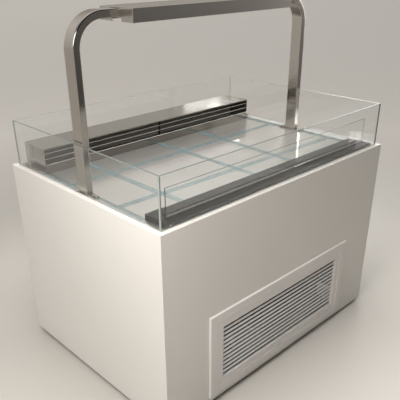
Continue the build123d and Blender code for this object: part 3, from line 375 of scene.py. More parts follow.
# %% Hang the lamps that are only mirrored
mirrored_spread = math.radians(24)
for lamp_row in (
        ("strip_lamp", (2.24, 1.10, 1.75), (0.3, -0.2, 0.87), (0.035, 0.8), 0.0162),
        ("far_lamp", (2.35, 2.08, 1.72), (0.3, 0.1, 0.87), (0.3, 0.07), 0.0081),
        ("plenum_lamp", (2.17, 2.23, 1.595), (0.40, 0.39, 0.98), (0.36, 0.12), 0.0037),
        ("corner_lamp", (2.9, -1.67, 0.13), (0.65, -0.03, 0.92), (0.3, 0.2), 0.0075)):
    small_lamp = area_lamp(*lamp_row, cool_white).data
    small_lamp.spread = mirrored_spread
    small_lamp.use_nodes = True
    tree = small_lamp.node_tree
    bounces = tree.nodes.new("ShaderNodeLightPath").outputs["Glossy Depth"]
    feed(tree, tree.nodes["Emission"], {"Strength": bounces})

# %% [markdown]
# ## A dark card for the steel
# Polished tube shows whatever stands opposite it. In the real room the dim front gives the
# posts their dark faces. A studio does the same with a dark card beside the camera. This one
# is darkest at its lower left and only appears in reflections, so it takes no light from the
# panels.

# %% Stand the dark card
card_left, card_right, card_top = (0.0, -3.2), (3.6, -1.3), 2.1
card_mesh = bpy.data.meshes.new("dark_card")
card_mesh.from_pydata([(*card_left, 0), (*card_right, 0),
                       (*card_right, card_top), (*card_left, card_top)], [], [(0, 1, 2, 3)])
dark_card = add_object("dark_card", card_mesh)
card_cloth, tree, shader = start_finish("card_cloth")
up_and_right = reach_along(tree, where(tree), (0.30, 0, 0.35))
feed(tree, shader, {"Base Color": (0.02, 0.02, 0.02, 1), "Roughness": 0.9,
                    "Emission Color": (1.0, 0.94, 0.87, 1),
                    "Emission Strength": between(tree, up_and_right, 0.04, 0.18, 0.45, 1.25)})
card_mesh.materials.append(card_cloth)
dark_card.visible_camera = False
dark_card.visible_diffuse = False
dark_card.visible_transmission = False
dark_card.visible_shadow = False
print("card", dark_card.name)

# %% [markdown]
# ## White laminated board
# The four panels are smooth white board with mitred corners. Paint would show brush or
# roller marks; laminate is even, with a satin sheen and a very faint skin texture, so the
# noise only shifts the white by a few percent. The faces that look inwards are bare hardboard,
# painted very dark as painted shade for the cabinet's inside: there the normal points back
# towards the cabinet's middle.

# %% Finish the board panels
hardboard_and_shade = (0.085, 0.065, 0.048)
panel_white = coat("panel_white", (1.3, (0.77, 0.745, 0.705), (0.81, 0.785, 0.745)),
                   (34, 0.36, 0.46), (1400, 0.05, 0.0004))
tree, shader = parts_of(panel_white)
sideways = add_node(tree, "ShaderNodeVectorMath", {0: where(tree), 1: (1, 1, 0)}, "MULTIPLY")
outwards = reach_along(tree, sideways.outputs["Vector"], where(tree, "Normal"))
# Painted shade: the inward faces take a very dark hardboard colour, which keeps the cabinet's inside dark.
paint_over(tree, shader, between(tree, outwards, 1, 0, -0.2, -0.1), hardboard_and_shade)
dress(panel_white, "front_panel", "back_panel", "left_panel", "right_panel")
print("finish", panel_white.name)

# %% [markdown]
# ## Powder coat and plain white board
# The grilles are folded sheet with a white powder coat, which has a fine orange-peel skin.
# The board behind the plenum is a duller white. They are the same network with another
# scale of bump, which is all that tells them apart by eye. The door's blades carry a painted
# highlight: their white is painted lighter as the normal turns up, for the light that their
# upward-leaning faces catch.

# %% Finish the grilles, the plenum's board and the glazing beads
powder_gloss, powder_grain = (60, 0.34, 0.44), (1800, 0.12, 0.0004)
grille_white = coat("grille_white", (3, (0.78, 0.75, 0.725), (0.82, 0.79, 0.765)),
                    powder_gloss, powder_grain)
dress(grille_white, "grille_frame", "rear_grille")

blade_white_painted_highlight, tree, shader = start_finish("blade_white_painted_highlight")
level_white, painted_highlight_white = (0.80, 0.77, 0.745), (0.97, 0.955, 0.935)
# Painted highlight: faces that lean upwards are painted a lighter white.
upwards = reach_along(tree, where(tree, "Normal"), (0, 0, 1))
feed(tree, shader, {"Base Color": tint(tree, upwards, level_white, painted_highlight_white, 0.1, 0.5),
                    "Roughness": between(tree, noise(tree, powder_gloss[0]), *powder_gloss[1:])})
emboss(tree, shader, noise(tree, powder_grain[0], detail=2), *powder_grain[1:])
dress(blade_white_painted_highlight, "grille_door")

white_board = coat("white_board", (5, (0.80, 0.78, 0.74), (0.85, 0.83, 0.79)),
                   (40, 0.45, 0.6), (700, 0.08, 0.0005), detail=3)
dress(white_board, "plenum_board")

bead_white, tree, shader = start_finish("bead_white")
feed(tree, shader, {"Base Color": tint(tree, noise(tree, 25), (0.86, 0.85, 0.82), (0.91, 0.90, 0.87)),
                    "Roughness": between(tree, noise(tree, 90), 0.38, 0.55)})
emboss(tree, shader, noise(tree, 300, (1, 1, 0.3), detail=2), 0.15, 0.0005)
dress(bead_white, "glazing_rubber")
print("finish", grille_white.name, blade_white_painted_highlight.name, white_board.name, bead_white.name)

# %% [markdown]
# ## Stainless sheet
# Brushed sheet has fine scratches along its length, so its noise is drawn out along X. The
# same network serves the dull strip, the plenum and the bright channels: what changes is
# how rough the metal is and how strongly the brushing shows. The blades are satin, so they
# are only half metal. The lamp box dims at glancing angles, which the specular tint does.

# %% Brushed sheet
along_x = (8, 260, 260)
dim_glance = (0.45, 0.43, 0.40, 1)


def sheet_metal(name, dark, light, smooth, dull, brush, metal=1.0):
    """Brushed metal: streaks in colour, in roughness and, faintly, in height."""
    finish, tree, shader = start_finish(name)
    streak = noise(tree, 6, along_x, detail=3, rough=0.6)
    feed(tree, shader, {
        "Base Color": tint(tree, streak, dark, light), "Metallic": metal,
        "Roughness": between(tree, noise(tree, 3, along_x, detail=2), smooth, dull)})
    emboss(tree, shader, streak, brush, 0.0002)
    return finish


strip_steel = sheet_metal("strip_steel", (0.085, 0.087, 0.086), (0.10, 0.102, 0.101), 0.34, 0.42, 0.03)
plenum_steel = sheet_metal("plenum_steel", (0.39, 0.37, 0.345), (0.42, 0.40, 0.375), 0.11, 0.15, 0.015)
louvre_steel = sheet_metal("louvre_steel", (0.82, 0.795, 0.76), (0.88, 0.855, 0.82), 0.30, 0.38, 0.02, 0.5)
tub_steel = sheet_metal("tub_steel", (0.50, 0.50, 0.49), (0.58, 0.58, 0.56), 0.30, 0.42, 0.05)
channel_steel = sheet_metal("channel_steel", (0.52, 0.52, 0.505), (0.60, 0.595, 0.58), 0.18, 0.28, 0.03)
lamp_steel = sheet_metal("lamp_steel", (0.58, 0.555, 0.525), (0.61, 0.585, 0.555), 0.22, 0.25, 0.01)
feed(*parts_of(lamp_steel), {"Specular Tint": dim_glance})
dress(strip_steel, "return_grille")
dress(plenum_steel, "plenum_shell")
dress(louvre_steel, "plenum_louvre")
dress(tub_steel, "tub_liner", "deck_bearers")
dress(channel_steel, "riser_channel", "glass_channel")
dress(lamp_steel, "lamp_housing")
print("sheet finishes made")

# %% [markdown]
# ## Paint inside the plenum
# The plenum's rear wall is painted, and the thin strut behind its blades is painted black as
# shade, because it lies in the shade behind them. Both belong to larger solids, so a second
# material would need cut faces. Place and normal tell the network where the paint lies instead.

# %% Paint the rear wall and paint shade on the strut
rear_wall_y, strut_reach = 435 * mm, 2 * mm
tree, shader = parts_of(plenum_steel)
depth = reach_along(tree, where(tree), (0, 1, 0))
turned_back = reach_along(tree, where(tree, "Normal"), (0, 1, 0))
on_wall = reckon(tree, "MULTIPLY",
                 between(tree, depth, 0, 1, rear_wall_y - 2 * mm, rear_wall_y - 1 * mm),
                 between(tree, turned_back, 1, 0, -0.9, -0.5))
paint_over(tree, shader, on_wall, (0.42, 0.40, 0.37))
feed(tree, shader, {"Metallic": between(tree, on_wall, 1, 0, 0, 1)})

tree, shader = parts_of(louvre_steel)
off_middle = reckon(tree, "ABSOLUTE", reach_along(tree, where(tree), (1, 0, 0)))
painted_shade_on_strut = between(tree, off_middle, 1, 0, strut_reach, 2 * strut_reach)
# Painted shade: the strut is painted near-black so that it vanishes into the shade behind the blades.
paint_over(tree, shader, painted_shade_on_strut, (0.03, 0.029, 0.027))
print("painted", plenum_steel.name, louvre_steel.name)

# %% [markdown]
# ## The deck plates
# The lift-out plates are bright steel still under their clear protective film. The steel
# below blurs what it mirrors, and the film on top mirrors the brightest things sharply. A
# clear coat over rough metal is exactly that pair of layers.

# %% Filmed deck steel
deck_steel = coat("deck_steel", (2.2, (0.655, 0.645, 0.62), (0.715, 0.705, 0.68)),
                  (4, 0.34, 0.42), (2.5, 0.06, 0.004), detail=1, metal=0.8)
feed(*parts_of(deck_steel), {"Coat Weight": 0.9, "Coat Roughness": 0.03})
dress(deck_steel, "deck_plate_left", "deck_plate_middle", "deck_plate_right")
print("finish", deck_steel.name)

# %% [markdown]
# ## Clear glass
# A pane is clear through its faces. Its ground edges carry painted light and shade in place of
# the light that has travelled inside the sheet and comes out there: pale blue-green at the
# ends, darker on top, and nearly black on the riser. Letting the glass absorb light over
# hundreds of inner reflections would be exact and slow. Here the direction that a face points
# tells edge from face: the edge is satin with its painted light and shade, the face is clear.

# %% Make the glass
edge_face = (0.4, 0.9)
clear_white = (0.985, 0.995, 0.99, 1)


def clear_glass(name, thin_axis, end_painted_light, top_painted_shade, edge_clear):
    """Clear sheet whose faces point along thin_axis and whose ground edges carry painted light and shade.
    """
    finish, tree, shader = start_finish(name)
    face = reckon(tree, "ABSOLUTE", reach_along(tree, where(tree, "Normal"), thin_axis))
    upwards = reach_along(tree, where(tree, "Normal"), (0, 0, 1))
    # Painted light and shade: edges are pale at the ends and dark on top, by the way that they face.
    edge = tint(tree, upwards, end_painted_light, top_painted_shade, *edge_face)
    wiped = between(tree, noise(tree, 9, (1, 1, 2.5)), 0.0, 0.02, 0.45, 0.8)
    satin = between(tree, face, 0.3, 0.0, *edge_face)
    feed(tree, shader, {
        "Base Color": blend(tree, between(tree, face, 0, 1, *edge_face), edge, clear_white),
        "Transmission Weight": between(tree, face, edge_clear, 1.0, *edge_face),
        "Roughness": reckon(tree, "ADD", wiped, satin), "IOR": 1.5})
    return finish


painted_end_light, painted_top_shade = (0.50, 0.57, 0.54), (0.10, 0.13, 0.12)
painted_riser_shade = (0.02, 0.026, 0.025)
guard_long = clear_glass("guard_glass_long", (0, 1, 0), painted_end_light, painted_top_shade, 0.35)
guard_end = clear_glass("guard_glass_end", (1, 0, 0), painted_end_light, painted_top_shade, 0.35)
riser_clear = clear_glass("riser_clear", (0, 1, 0), painted_riser_shade, painted_riser_shade, 0.05)
dress(guard_long, "glass_front", "glass_back")
dress(guard_end, "glass_left", "glass_right")
dress(riser_clear, "riser_glass")
print("glass", guard_long.name, guard_end.name, riser_clear.name)

# %% [markdown]
# ## Helpers that build pieces
# A piece is a mesh that rides on one of the moving bodies and carries the finishes that it
# is given. Most of the rebuilt pieces are either swept (a section moved along a line) or
# turned (a profile spun round an axis), so there is one helper for each.

# %% Piece helpers
many_points = 100000


def new_piece(name, mesh, body, slot, *finishes):
    """Link a mesh as a piece, with its finishes and its body; the material slot is not used."""
    piece = add_object(name, mesh)
    for finish in finishes:
        mesh.materials.append(finish)
    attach(piece, body)
    print(name, len(mesh.polygons), "faces on", body)
    return piece


def face_order(face):
    """A number from a face's lowest points, by which every run lists the faces alike."""
    first, second, third = sorted(vert.index for vert in face.verts)[:3]
    return (first * many_points + second) * many_points + third


def finished_mesh(name, build, angle):
    """Turn a bmesh into a mesh that is smooth except across sharp angles."""
    bmesh.ops.recalc_face_normals(build, faces=build.faces)
    for face in build.faces:
        face.smooth = True
    for edge in build.edges:
        if len(edge.link_faces) == 2 and edge.calc_face_angle(0) > math.radians(angle):
            edge.smooth = False
    build.verts.index_update()
    build.faces.sort(key=face_order)
    mesh = bpy.data.meshes.new(name)
    build.to_mesh(mesh)
    build.free()
    return mesh


def built_piece(name, build, angle, body, slot, *finishes):
    """Finish a bmesh and link it as a piece of the same name."""
    return new_piece(name, finished_mesh(name, build, angle), body, slot, *finishes)


def mesh_of_curve(name, curve):
    """Turn a curve into a mesh, by way of an object that is thrown away."""
    carrier = bpy.data.objects.new(name, curve)
    mesh = bpy.data.meshes.new_from_object(carrier)
    bpy.data.objects.remove(carrier)
    return mesh


print("piece helpers ready")

# %% Shape helpers
def full_turn(steps):
    """Evenly spaced angles once round a circle."""
    return [2 * math.pi * step / steps for step in range(steps)]


def swing(first, second, turn):
    """The direction that lies at an angle between two others."""
    return first * math.cos(turn) + second * math.sin(turn)


def rounded_outline(half_a, half_b, corner, steps):
    """A rectangle with round corners, as points round its middle."""
    points = []
    for quarter, (a, b) in enumerate(((1, 1), (-1, 1), (-1, -1), (1, -1))):
        for step in range(steps + 1):
            turn = math.pi / 2 * (quarter + step / steps)
            points.append((a * (half_a - corner) + corner * math.cos(turn),
                           b * (half_b - corner) + corner * math.sin(turn)))
    return points


def skin_rings(build, rings, closed_ring=True, material=0, capped=False):
    """Join rings of points with a band of faces between each pair, and cap the ends if asked."""
    rows = [[build.verts.new(point) for point in ring] for ring in rings]
    loops = []
    for low, high in zip(rows, rows[1:]):
        count = len(low)
        for index in range(count if closed_ring else count - 1):
            following = (index + 1) % count
            loops.append((low[index], low[following], high[following], high[index]))
    for loop in loops + ([rows[0], rows[-1]] if capped else []):
        build.faces.new(loop).material_index = material
    return rows


def turned(build, profile, place, axis, segments, material=0, closed_profile=False):
    """Spin a profile of (radius, height) points, in millimetres, round an axis at a place."""
    axis = Vector(axis).normalized()
    across = axis.orthogonal().normalized()
    beside = axis.cross(across)
    rings = []
    for radius, height in profile + (profile[:1] if closed_profile else []):
        middle = Vector(place) + axis * (height * mm)
        rings.append([middle + swing(across, beside, turn) * (radius * mm)
                      for turn in full_turn(segments)])
    skin_rings(build, rings, material=material, capped=not closed_profile)
    bmesh.ops.remove_doubles(build, verts=build.verts, dist=1e-6)


print("shape helpers ready")

# %% [markdown]
# ## The lip of the air outlet
# The lower edge of the outlet is folded over, so it is round. Its bright line is a painted
# highlight: the rod's steel is paler and less metallic than the sheet, so it shows light along
# the fold. A bevel on the folded sheet would do, but the sheet is a measured solid, so the
# fold is laid over its edge as a thin round rod.

# %% Roll the lip
# Painted highlight: pale, mostly diffuse steel stands in for the bright line along the fold.
lip_steel_painted_highlight = sheet_metal("lip_steel_painted_highlight", (0.80, 0.78, 0.745), (0.86, 0.84, 0.805), 0.35, 0.45, 0.02, 0.3)
lip_round, lip_reach, outlet_face, outlet_sill = 1.6, 638, 308.5, 911
lip_place = (0, (outlet_face + lip_round) * mm, outlet_sill * mm)
build = bmesh.new()
turned(build, [(lip_round, -lip_reach), (lip_round, lip_reach)], lip_place, (1, 0, 0), 12)
built_piece("outlet_lip", build, 60, "cabinet", "stainless", lip_steel_painted_highlight)

# %% [markdown]
# ## The bent gantry tubes
# Each post is one length of polished rectangular tube, bent at the top so that its end
# enters the lamp box. A chain of flat facets would break up the mirror image in the bend,
# so the tube is swept again with a fine bend, and given its wall with a solidify modifier.

# %% Polished tube finish
tube_steel, tree, shader = start_finish("tube_steel")
feed(tree, shader, {"Base Color": tint(tree, noise(tree, 3), (0.55, 0.52, 0.485), (0.60, 0.57, 0.53)),
                    "Roughness": between(tree, noise(tree, 14, (1, 1, 0.2)), 0.10, 0.17),
                    "Metallic": 1.0, "Specular Tint": dim_glance})
emboss(tree, shader, noise(tree, 5, (1, 1, 0.4), detail=1), 0.08, 0.003)
print("finish", tube_steel.name)

# %% Shape of a gantry tube
sides = ((-1, "left"), (1, "right"))
post_x, post_foot, post_mid = 648.5 * mm, 880 * mm, 1100 * mm
tube_z, tube_tip, tube_wall = 1520 * mm, 410 * mm, 2 * mm
tube_half_x, tube_half_y, tube_corner = 15 * mm, 30 * mm, 4 * mm
bend_radius, bend_steps = 115 * mm, 28


def tube_outline(turn):
    """The tube's section: its outer corners draw rounder in the middle of the bend."""
    drawn_corner = tube_corner * (1 + math.sin(2 * turn))
    plain, drawn = (rounded_outline(tube_half_x, tube_half_y, corner, 6)
                    for corner in (tube_corner, drawn_corner))
    return [after if after[0] > 0 else before for before, after in zip(plain, drawn)]


def gantry_tube(name, side):
    """The swept tube of one side: straight post, round bend, level end."""
    sideways, up = Vector((side, 0, 0)), Vector((0, 0, 1))
    bend_middle = sideways * (post_x - bend_radius) + up * (tube_z - bend_radius)
    stations = [(sideways * post_x + up * height, 0.0) for height in (post_foot, post_mid)]
    for step in range(bend_steps + 1):
        turn = math.pi / 2 * step / bend_steps
        stations.append((bend_middle + bend_radius * swing(sideways, up, turn), turn))
    stations.append((sideways * tube_tip + up * tube_z, math.pi / 2))
    build = bmesh.new()
    skin_rings(build, [[point + swing(sideways, up, turn) * a + Vector((0, b, 0))
                        for a, b in tube_outline(turn)] for point, turn in stations])
    return finished_mesh(name, build, 35)


print("bend", round(bend_radius, 3), "m in", bend_steps, "steps")

# %% Sweep the gantry tubes
for side, side_name in sides:
    tube = new_piece(f"gantry_tube_{side_name}", gantry_tube(f"gantry_tube_{side_name}", side),
                     "cabinet", "tube_steel", tube_steel)
    wall = tube.modifiers.new("wall", "SOLIDIFY")
    wall.thickness = tube_wall
    wall.offset = -1
    even = tube.modifiers.new("even_light", "WEIGHTED_NORMAL")
    even.keep_sharp = True
    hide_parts(f"gantry_{side_name}")

# %% [markdown]
# ## Foot plates and welds
# Each post stands on a bolted plate. The plate is a flat curve with two holes, thickened
# and rounded by the curve's own extrude and bevel, which cuts holes more cleanly than
# joining boxes. The weld is a small bead with ripples, run round the foot of the tube.

# %% Helper for flat plates
def flat_plate(name, outline, holes, thickness, edge):
    """A plate lying flat, cut from an outline with round holes."""
    curve = bpy.data.curves.new(name, "CURVE")
    curve.dimensions = "2D"
    curve.fill_mode = "BOTH"
    curve.extrude = thickness / 2 - edge
    curve.bevel_depth = edge
    curve.offset = -edge
    loops = [outline] + [[(x + radius * math.cos(turn), y + radius * math.sin(turn))
                          for turn in full_turn(24)] for x, y, radius in holes]
    for loop in loops:
        spline = curve.splines.new("POLY")
        spline.points.add(len(loop) - 1)
        for point, (x, y) in zip(spline.points, loop):
            point.co = (x, y, 0, 1)
        spline.use_cyclic_u = True
    return mesh_of_curve(name, curve)


print("plate helper ready")

# %% Make the foot plates
plate_outline = rounded_outline(19 * mm, 65 * mm, 3 * mm, 4)
plate_holes = [(0, -51 * mm, 4.4 * mm), (0, 51 * mm, 4.4 * mm)]
plate_thick, plate_edge, plate_middle_z = 6 * mm, 0.8 * mm, 877 * mm
for side, side_name in sides:
    mesh = flat_plate(f"foot_plate_{side_name}", plate_outline, plate_holes, plate_thick, plate_edge)
    mesh.transform(Matrix.Translation((side * post_x, 0, plate_middle_z)))
    plate = new_piece(f"foot_plate_{side_name}", mesh, "cabinet", "tube_steel", tube_steel)
    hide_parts(f"gantry_{side_name}")

# %% Run the weld beads
weld_off, weld_size, weld_step, weld_wander = 0.6 * mm, 1.5, 0.35, 0.1
weld_path = rounded_outline(tube_half_x + weld_off, tube_half_y + weld_off, tube_corner, 8)
for side, side_name in sides:
    rings = []
    ripple = random.Random(11 + side)
    for place, (a, b) in enumerate(weld_path):
        size = (weld_size + weld_step * (place % 2) + ripple.uniform(-weld_wander, weld_wander)) * mm
        away, up = Vector((a, b, 0)).normalized(), Vector((0, 0, 1))
        middle = Vector((side * post_x + a, b, post_foot))
        rings.append([middle + swing(away, up, turn) * size for turn in full_turn(8)])
    build = bmesh.new()
    skin_rings(build, rings + rings[:1])
    bmesh.ops.remove_doubles(build, verts=build.verts, dist=1e-6)
    built_piece(f"weld_bead_{side_name}", build, 70, "cabinet", "tube_steel", tube_steel)

# %% [markdown]
# ## Strips of blue film
# The deck still carries strips of pale blue protective film where two sheets of it overlap,
# so the blue runs in a loose grid and is deeper at the crossings. Each strip is a thin
# ribbon with a slightly wandering edge. It is cut at the joints of the plates, so that each
# length lifts with its own plate, and a part of the light passes through it.

# %% Film finish
film_blue, tree, shader = start_finish("film_blue")
film_pale, film_deep = (0.235, 0.345, 0.365), (0.18, 0.285, 0.305)
feed(tree, shader, {"Base Color": tint(tree, noise(tree, 18, detail=3), film_deep, film_pale),
                    "Roughness": between(tree, noise(tree, 50), 0.18, 0.34),
                    "Alpha": between(tree, noise(tree, 11, detail=3), 0.34, 0.58)})
emboss(tree, shader, noise(tree, 70, detail=2), 0.2, 0.001)
print("finish", film_blue.name)

# %% Helpers that lay film
deck_z, film_step, film_lift = 874 * mm, 14 * mm, 0.12 * mm
edge_keep, edge_shift, wave_pace, wave_offset = 0.8, 0.5, 1.7, 9000
film_wander = random.Random(5)
plate_spans = (("deck_plate_left", -627, -210), ("deck_plate_middle", -208, 208),
               ("deck_plate_right", 210, 627))


def film_ribbon(name, body, start, end, width, height):
    """One length of film lying on the deck between two points."""
    start, end = Vector((*start, 0)) * mm, Vector((*end, 0)) * mm
    run = end - start
    across = Vector((-run.y, run.x, 0)).normalized()
    count = max(4, int(run.length / film_step))
    edge = [0.0, 0.0]
    rings = []
    for step in range(count + 1):
        edge = [edge_keep * value + film_wander.uniform(-edge_shift, edge_shift) * mm for value in edge]
        middle = start + run * (step / count)
        lift = film_lift * (1 + math.sin(step * wave_pace + height * wave_offset))
        ring = []
        for share in (-0.5, -0.25, 0, 0.25, 0.5):
            aside = width * mm * share + edge[0] * (1 - share) / 2 + edge[1] * (1 + share) / 2
            raised = deck_z + height * mm + (lift if abs(share) < 0.4 else 0)
            ring.append(middle + across * aside + Vector((0, 0, raised)))
        rings.append(ring)
    build = bmesh.new()
    skin_rings(build, rings, closed_ring=False)
    built_piece(name, build, 80, body, "diffuser", film_blue)


def film_line(name, start_y, end_y, width, height):
    """A strip along the whole deck, cut where one plate meets the next."""
    deck_left, deck_right = plate_spans[0][1], plate_spans[-1][2]
    for body, *span in plate_spans:
        shares = [(x - deck_left) / (deck_right - deck_left) for x in span]
        cuts = [(x, start_y + share * (end_y - start_y)) for x, share in zip(span, shares)]
        film_ribbon(f"{name}_{body}", body, *cuts, width, height)


print("film helpers ready")

# %% Lay the film
deck_front, deck_back, flange_x, post_gap = -347, 305, 649, 70
film_wide, under, over = 32, 0.1, 0.5
film_line("film_front", -193, -228, film_wide, under)
film_line("film_back", 117, 139, film_wide, under)
film_ribbon("film_left", "deck_plate_left", (-437, deck_front), (-437, deck_back), film_wide, over)
film_ribbon("film_middle", "deck_plate_middle", (-21, deck_front), (-21, deck_back), 31, over)
film_ribbon("film_right", "deck_plate_right", (228, deck_front), (262, deck_back), film_wide, over)
for side, side_name in sides:
    x = side * flange_x
    film_ribbon(f"film_flange_{side_name}_front", "cabinet", (x, -345), (x, -post_gap), 34, under)
    film_ribbon(f"film_flange_{side_name}_back", "cabinet", (x, post_gap), (x, 303), 34, under)

# %% [markdown]
# ## Paints, plastics and bare metals inside
# Open the door or lift a plate and the machine shows: painted steel, galvanised sheet, zinc
# screws, rubber, copper and moulded plastic. Each could have a network of its own, but most
# differ only in colour, gloss and the size of their grain, so one helper makes them all. The
# condenser and what lies round it are coated dark: partly a real dark coat, partly painted
# shade that keeps the grille's gaps dark.

# %% Plain finishes
def plain_finish(name, first, second, patch, smooth, dull, grain, metal=0.0):
    """Soft patches of colour, gloss in smaller patches and a fine grain."""
    return coat(name, (patch, first, second), (patch * 6, smooth, dull), (grain, 0.15, 0.0004),
                metal=metal)


frame_paint = plain_finish("frame_paint", (0.095, 0.10, 0.105), (0.125, 0.13, 0.135), 9, 0.42, 0.58, 900)
zinc = plain_finish("zinc", (0.56, 0.57, 0.565), (0.68, 0.68, 0.66), 60, 0.24, 0.40, 1500, 1.0)
rubber = plain_finish("rubber", (0.018, 0.018, 0.018), (0.032, 0.031, 0.030), 40, 0.65, 0.85, 1200)
fin_metal = plain_finish("coil_metal", (0.66, 0.67, 0.67), (0.76, 0.77, 0.77), 20, 0.30, 0.44, 800, 1.0)
# A real dark coat and painted shade: the condenser is dark so that the grille's gaps stay dark.
coil_black_and_shade = plain_finish("coil_black_and_shade", (0.040, 0.041, 0.043), (0.062, 0.063, 0.065),
                          20, 0.36, 0.50, 800, 0.4)
copper = plain_finish("copper", (0.50, 0.25, 0.15), (0.64, 0.35, 0.22), 25, 0.24, 0.42, 700, 1.0)
fan_plastic = plain_finish("fan_plastic", (0.15, 0.155, 0.16), (0.19, 0.195, 0.20), 30, 0.38, 0.50, 1400)
motor_paint = plain_finish("motor_paint", (0.022, 0.022, 0.023), (0.036, 0.036, 0.037),
                           14, 0.26, 0.42, 1000)
grey_plastic = plain_finish("grey_plastic", (0.40, 0.41, 0.41), (0.46, 0.47, 0.465), 15, 0.40, 0.52, 1600)
box_grey = plain_finish("box_grey", (0.135, 0.14, 0.145), (0.17, 0.175, 0.18), 15, 0.40, 0.52, 1600)
black_plastic = plain_finish("black_plastic", (0.018, 0.018, 0.019), (0.030, 0.030, 0.031),
                             45, 0.36, 0.50, 1800)
magnet = plain_finish("magnet", (0.055, 0.052, 0.050), (0.085, 0.080, 0.076), 70, 0.45, 0.60, 1500, 0.5)
board_white = plain_finish("light_board", (0.80, 0.80, 0.78), (0.86, 0.86, 0.84), 30, 0.28, 0.40, 1700)
print("plain finishes", len(bpy.data.materials))

# %% [markdown]
# ## Galvanised sheet, foam and the lamp's opal cover
# Three finishes need another pattern. Hot-dip zinc freezes in flat crystals, so its colour
# comes from cells. Rigid foam is a mass of tiny bubbles, so cells raise its surface. The
# opal cover lets some light through and spreads it, which a rough transmission does.

# %% Cell finishes and opal cover
def cells(tree, scale, output):
    """A pattern of cells, as a random colour per cell or as distance from each middle."""
    pattern = add_node(tree, "ShaderNodeTexVoronoi", {"Vector": where(tree), "Scale": scale})
    return pattern.outputs[output]


galvanised, tree, shader = start_finish("galvanised")
crystals = cells(tree, 110, "Color")
feed(tree, shader, {"Base Color": tint(tree, crystals, (0.46, 0.48, 0.49), (0.60, 0.61, 0.615)),
                    "Roughness": between(tree, crystals, 0.30, 0.48), "Metallic": 1.0})

foam, tree, shader = start_finish("foam")
feed(tree, shader, {"Base Color": tint(tree, noise(tree, 30), (0.70, 0.60, 0.36), (0.78, 0.68, 0.44)),
                    "Roughness": between(tree, noise(tree, 300), 0.75, 0.9)})
emboss(tree, shader, cells(tree, 900, "Distance"), 0.4, 0.001)

opal, tree, shader = start_finish("diffuser")
feed(tree, shader, {"Base Color": tint(tree, noise(tree, 6), (0.84, 0.84, 0.82), (0.88, 0.88, 0.86)),
                    "Roughness": between(tree, noise(tree, 80), 0.38, 0.5),
                    "Transmission Weight": 0.3})
emboss(tree, shader, cells(tree, 500, "Distance"), 0.12, 0.0006)
print("finish", galvanised.name, foam.name, opal.name)

# %% Dress what lies inside
# The unit tray and fan shroud take the dark frame paint as painted shade, so that the grille's gaps stay
# dark.
dress(frame_paint, "frame", "unit_tray", "fan_shroud")
dress(zinc, "foot_nuts", "gantry_bolts", "door_pins")
dress(rubber, "compressor_mounts")
dress(motor_paint, "evaporator_motors", "condenser_motor")
dress(grey_plastic, "drain_pipe", "drain_pan", "cable_gland")
dress(box_grey, "control_box")
dress(black_plastic, "power_switch")
dress(magnet, "door_magnets")
dress(board_white, "light_board")
dress(galvanised, "tub_skin", "fan_baffle")
dress(foam, "tub_insulation")
dress(opal, "lamp_diffuser")
print("solids dressed")

# %% [markdown]
# ## Screws at the ends of the front strip
# One small pan-head screw shows at each end of the strip, just behind the front glass. Its
# head is a stack of rings, and the rings of the recess swell and shrink four times round,
# which makes the cross without cutting anything away.

# %% Drive the strip's screws
def lobed_ring(place, axis, radius, height, lobes, swell, segments=32):
    """A ring round an axis whose radius swells and shrinks a number of times."""
    axis = Vector(axis).normalized()
    across = Vector((1, 0, 0)) if abs(axis.x) < 0.9 else Vector((0, 1, 0))
    beside = axis.cross(across)
    ring = []
    for turn in full_turn(segments):
        reach = radius * (1 + swell * math.cos(lobes * turn))
        ring.append(Vector(place) + axis * height + swing(across, beside, turn) * reach)
    return ring


pan_head = ((3.5, 0, 0), (3.5, 0.45, 0), (3.2, 0.85, 0),
            (2.5, 1.2, 0), (1.5, 1.35, 0.4), (1.2, 0.35, 0.45))
screw_x, screw_y, screw_z = 630.5, -468.5, 890.8
build = bmesh.new()
for side, _ in sides:
    place = Vector((side * screw_x, screw_y, screw_z)) * mm
    skin_rings(build, [lobed_ring(place, (0, -1, 0), radius * mm, height * mm, 4, swell)
                       for radius, height, swell in pan_head], capped=True)
built_piece("strip_screws", build, 35, "cabinet", "zinc", zinc)

# %% [markdown]
# ## Levelling feet
# Four threaded feet carry the cabinet. Each is turned in one go: a pressed pad with a dished
# top, then a stem whose profile zigzags like the crests of an M10 thread. A true helix would
# look the same at this size and cost four times the faces.

# %% Turn the feet
thread_pitch, thread_crests, first_crest = 1.5, 25, 19.7
crest_radius, root_radius, crest_to_root = 5.0, 4.4, 0.7
foot_profile = [(26, 0), (28, 1.5), (28, 7.5), (27, 9.2), (24, 10), (12, 11.5), (9.5, 15),
                (9.5, 19), (root_radius, 19)]
for crest in range(thread_crests):
    crest_z = first_crest + crest * thread_pitch
    foot_profile += [(crest_radius, crest_z), (root_radius, crest_z + crest_to_root)]
foot_profile.append((4.0, 58))
for foot_name in ("foot_front_left", "foot_front_right", "foot_back_left", "foot_back_right"):
    low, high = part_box(foot_name)
    build = bmesh.new()
    turned(build, foot_profile, ((low.x + high.x) / 2, (low.y + high.y) / 2, 0), (0, 0, 1), 32)
    foot = new_piece(f"turned_{foot_name}", finished_mesh(foot_name, build, 30), foot_name, "zinc", zinc)
    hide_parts(foot_name)

# %% [markdown]
# ## Finned coils
# A coil is a stack of thin aluminium fins on copper tube, held between two end plates. An
# array modifier could repeat one fin; a loop is as short and keeps fins, plates and the
# copper return bends in one mesh with two finishes.

# %% Helpers for coils
fin_sheet, copper_index, stub_radius, stub_bore = 0.35, 1, 7, 6
block_faces = ((0, 1, 3, 2), (4, 6, 7, 5), (0, 4, 5, 1), (2, 3, 7, 6), (0, 2, 6, 4), (1, 5, 7, 3))


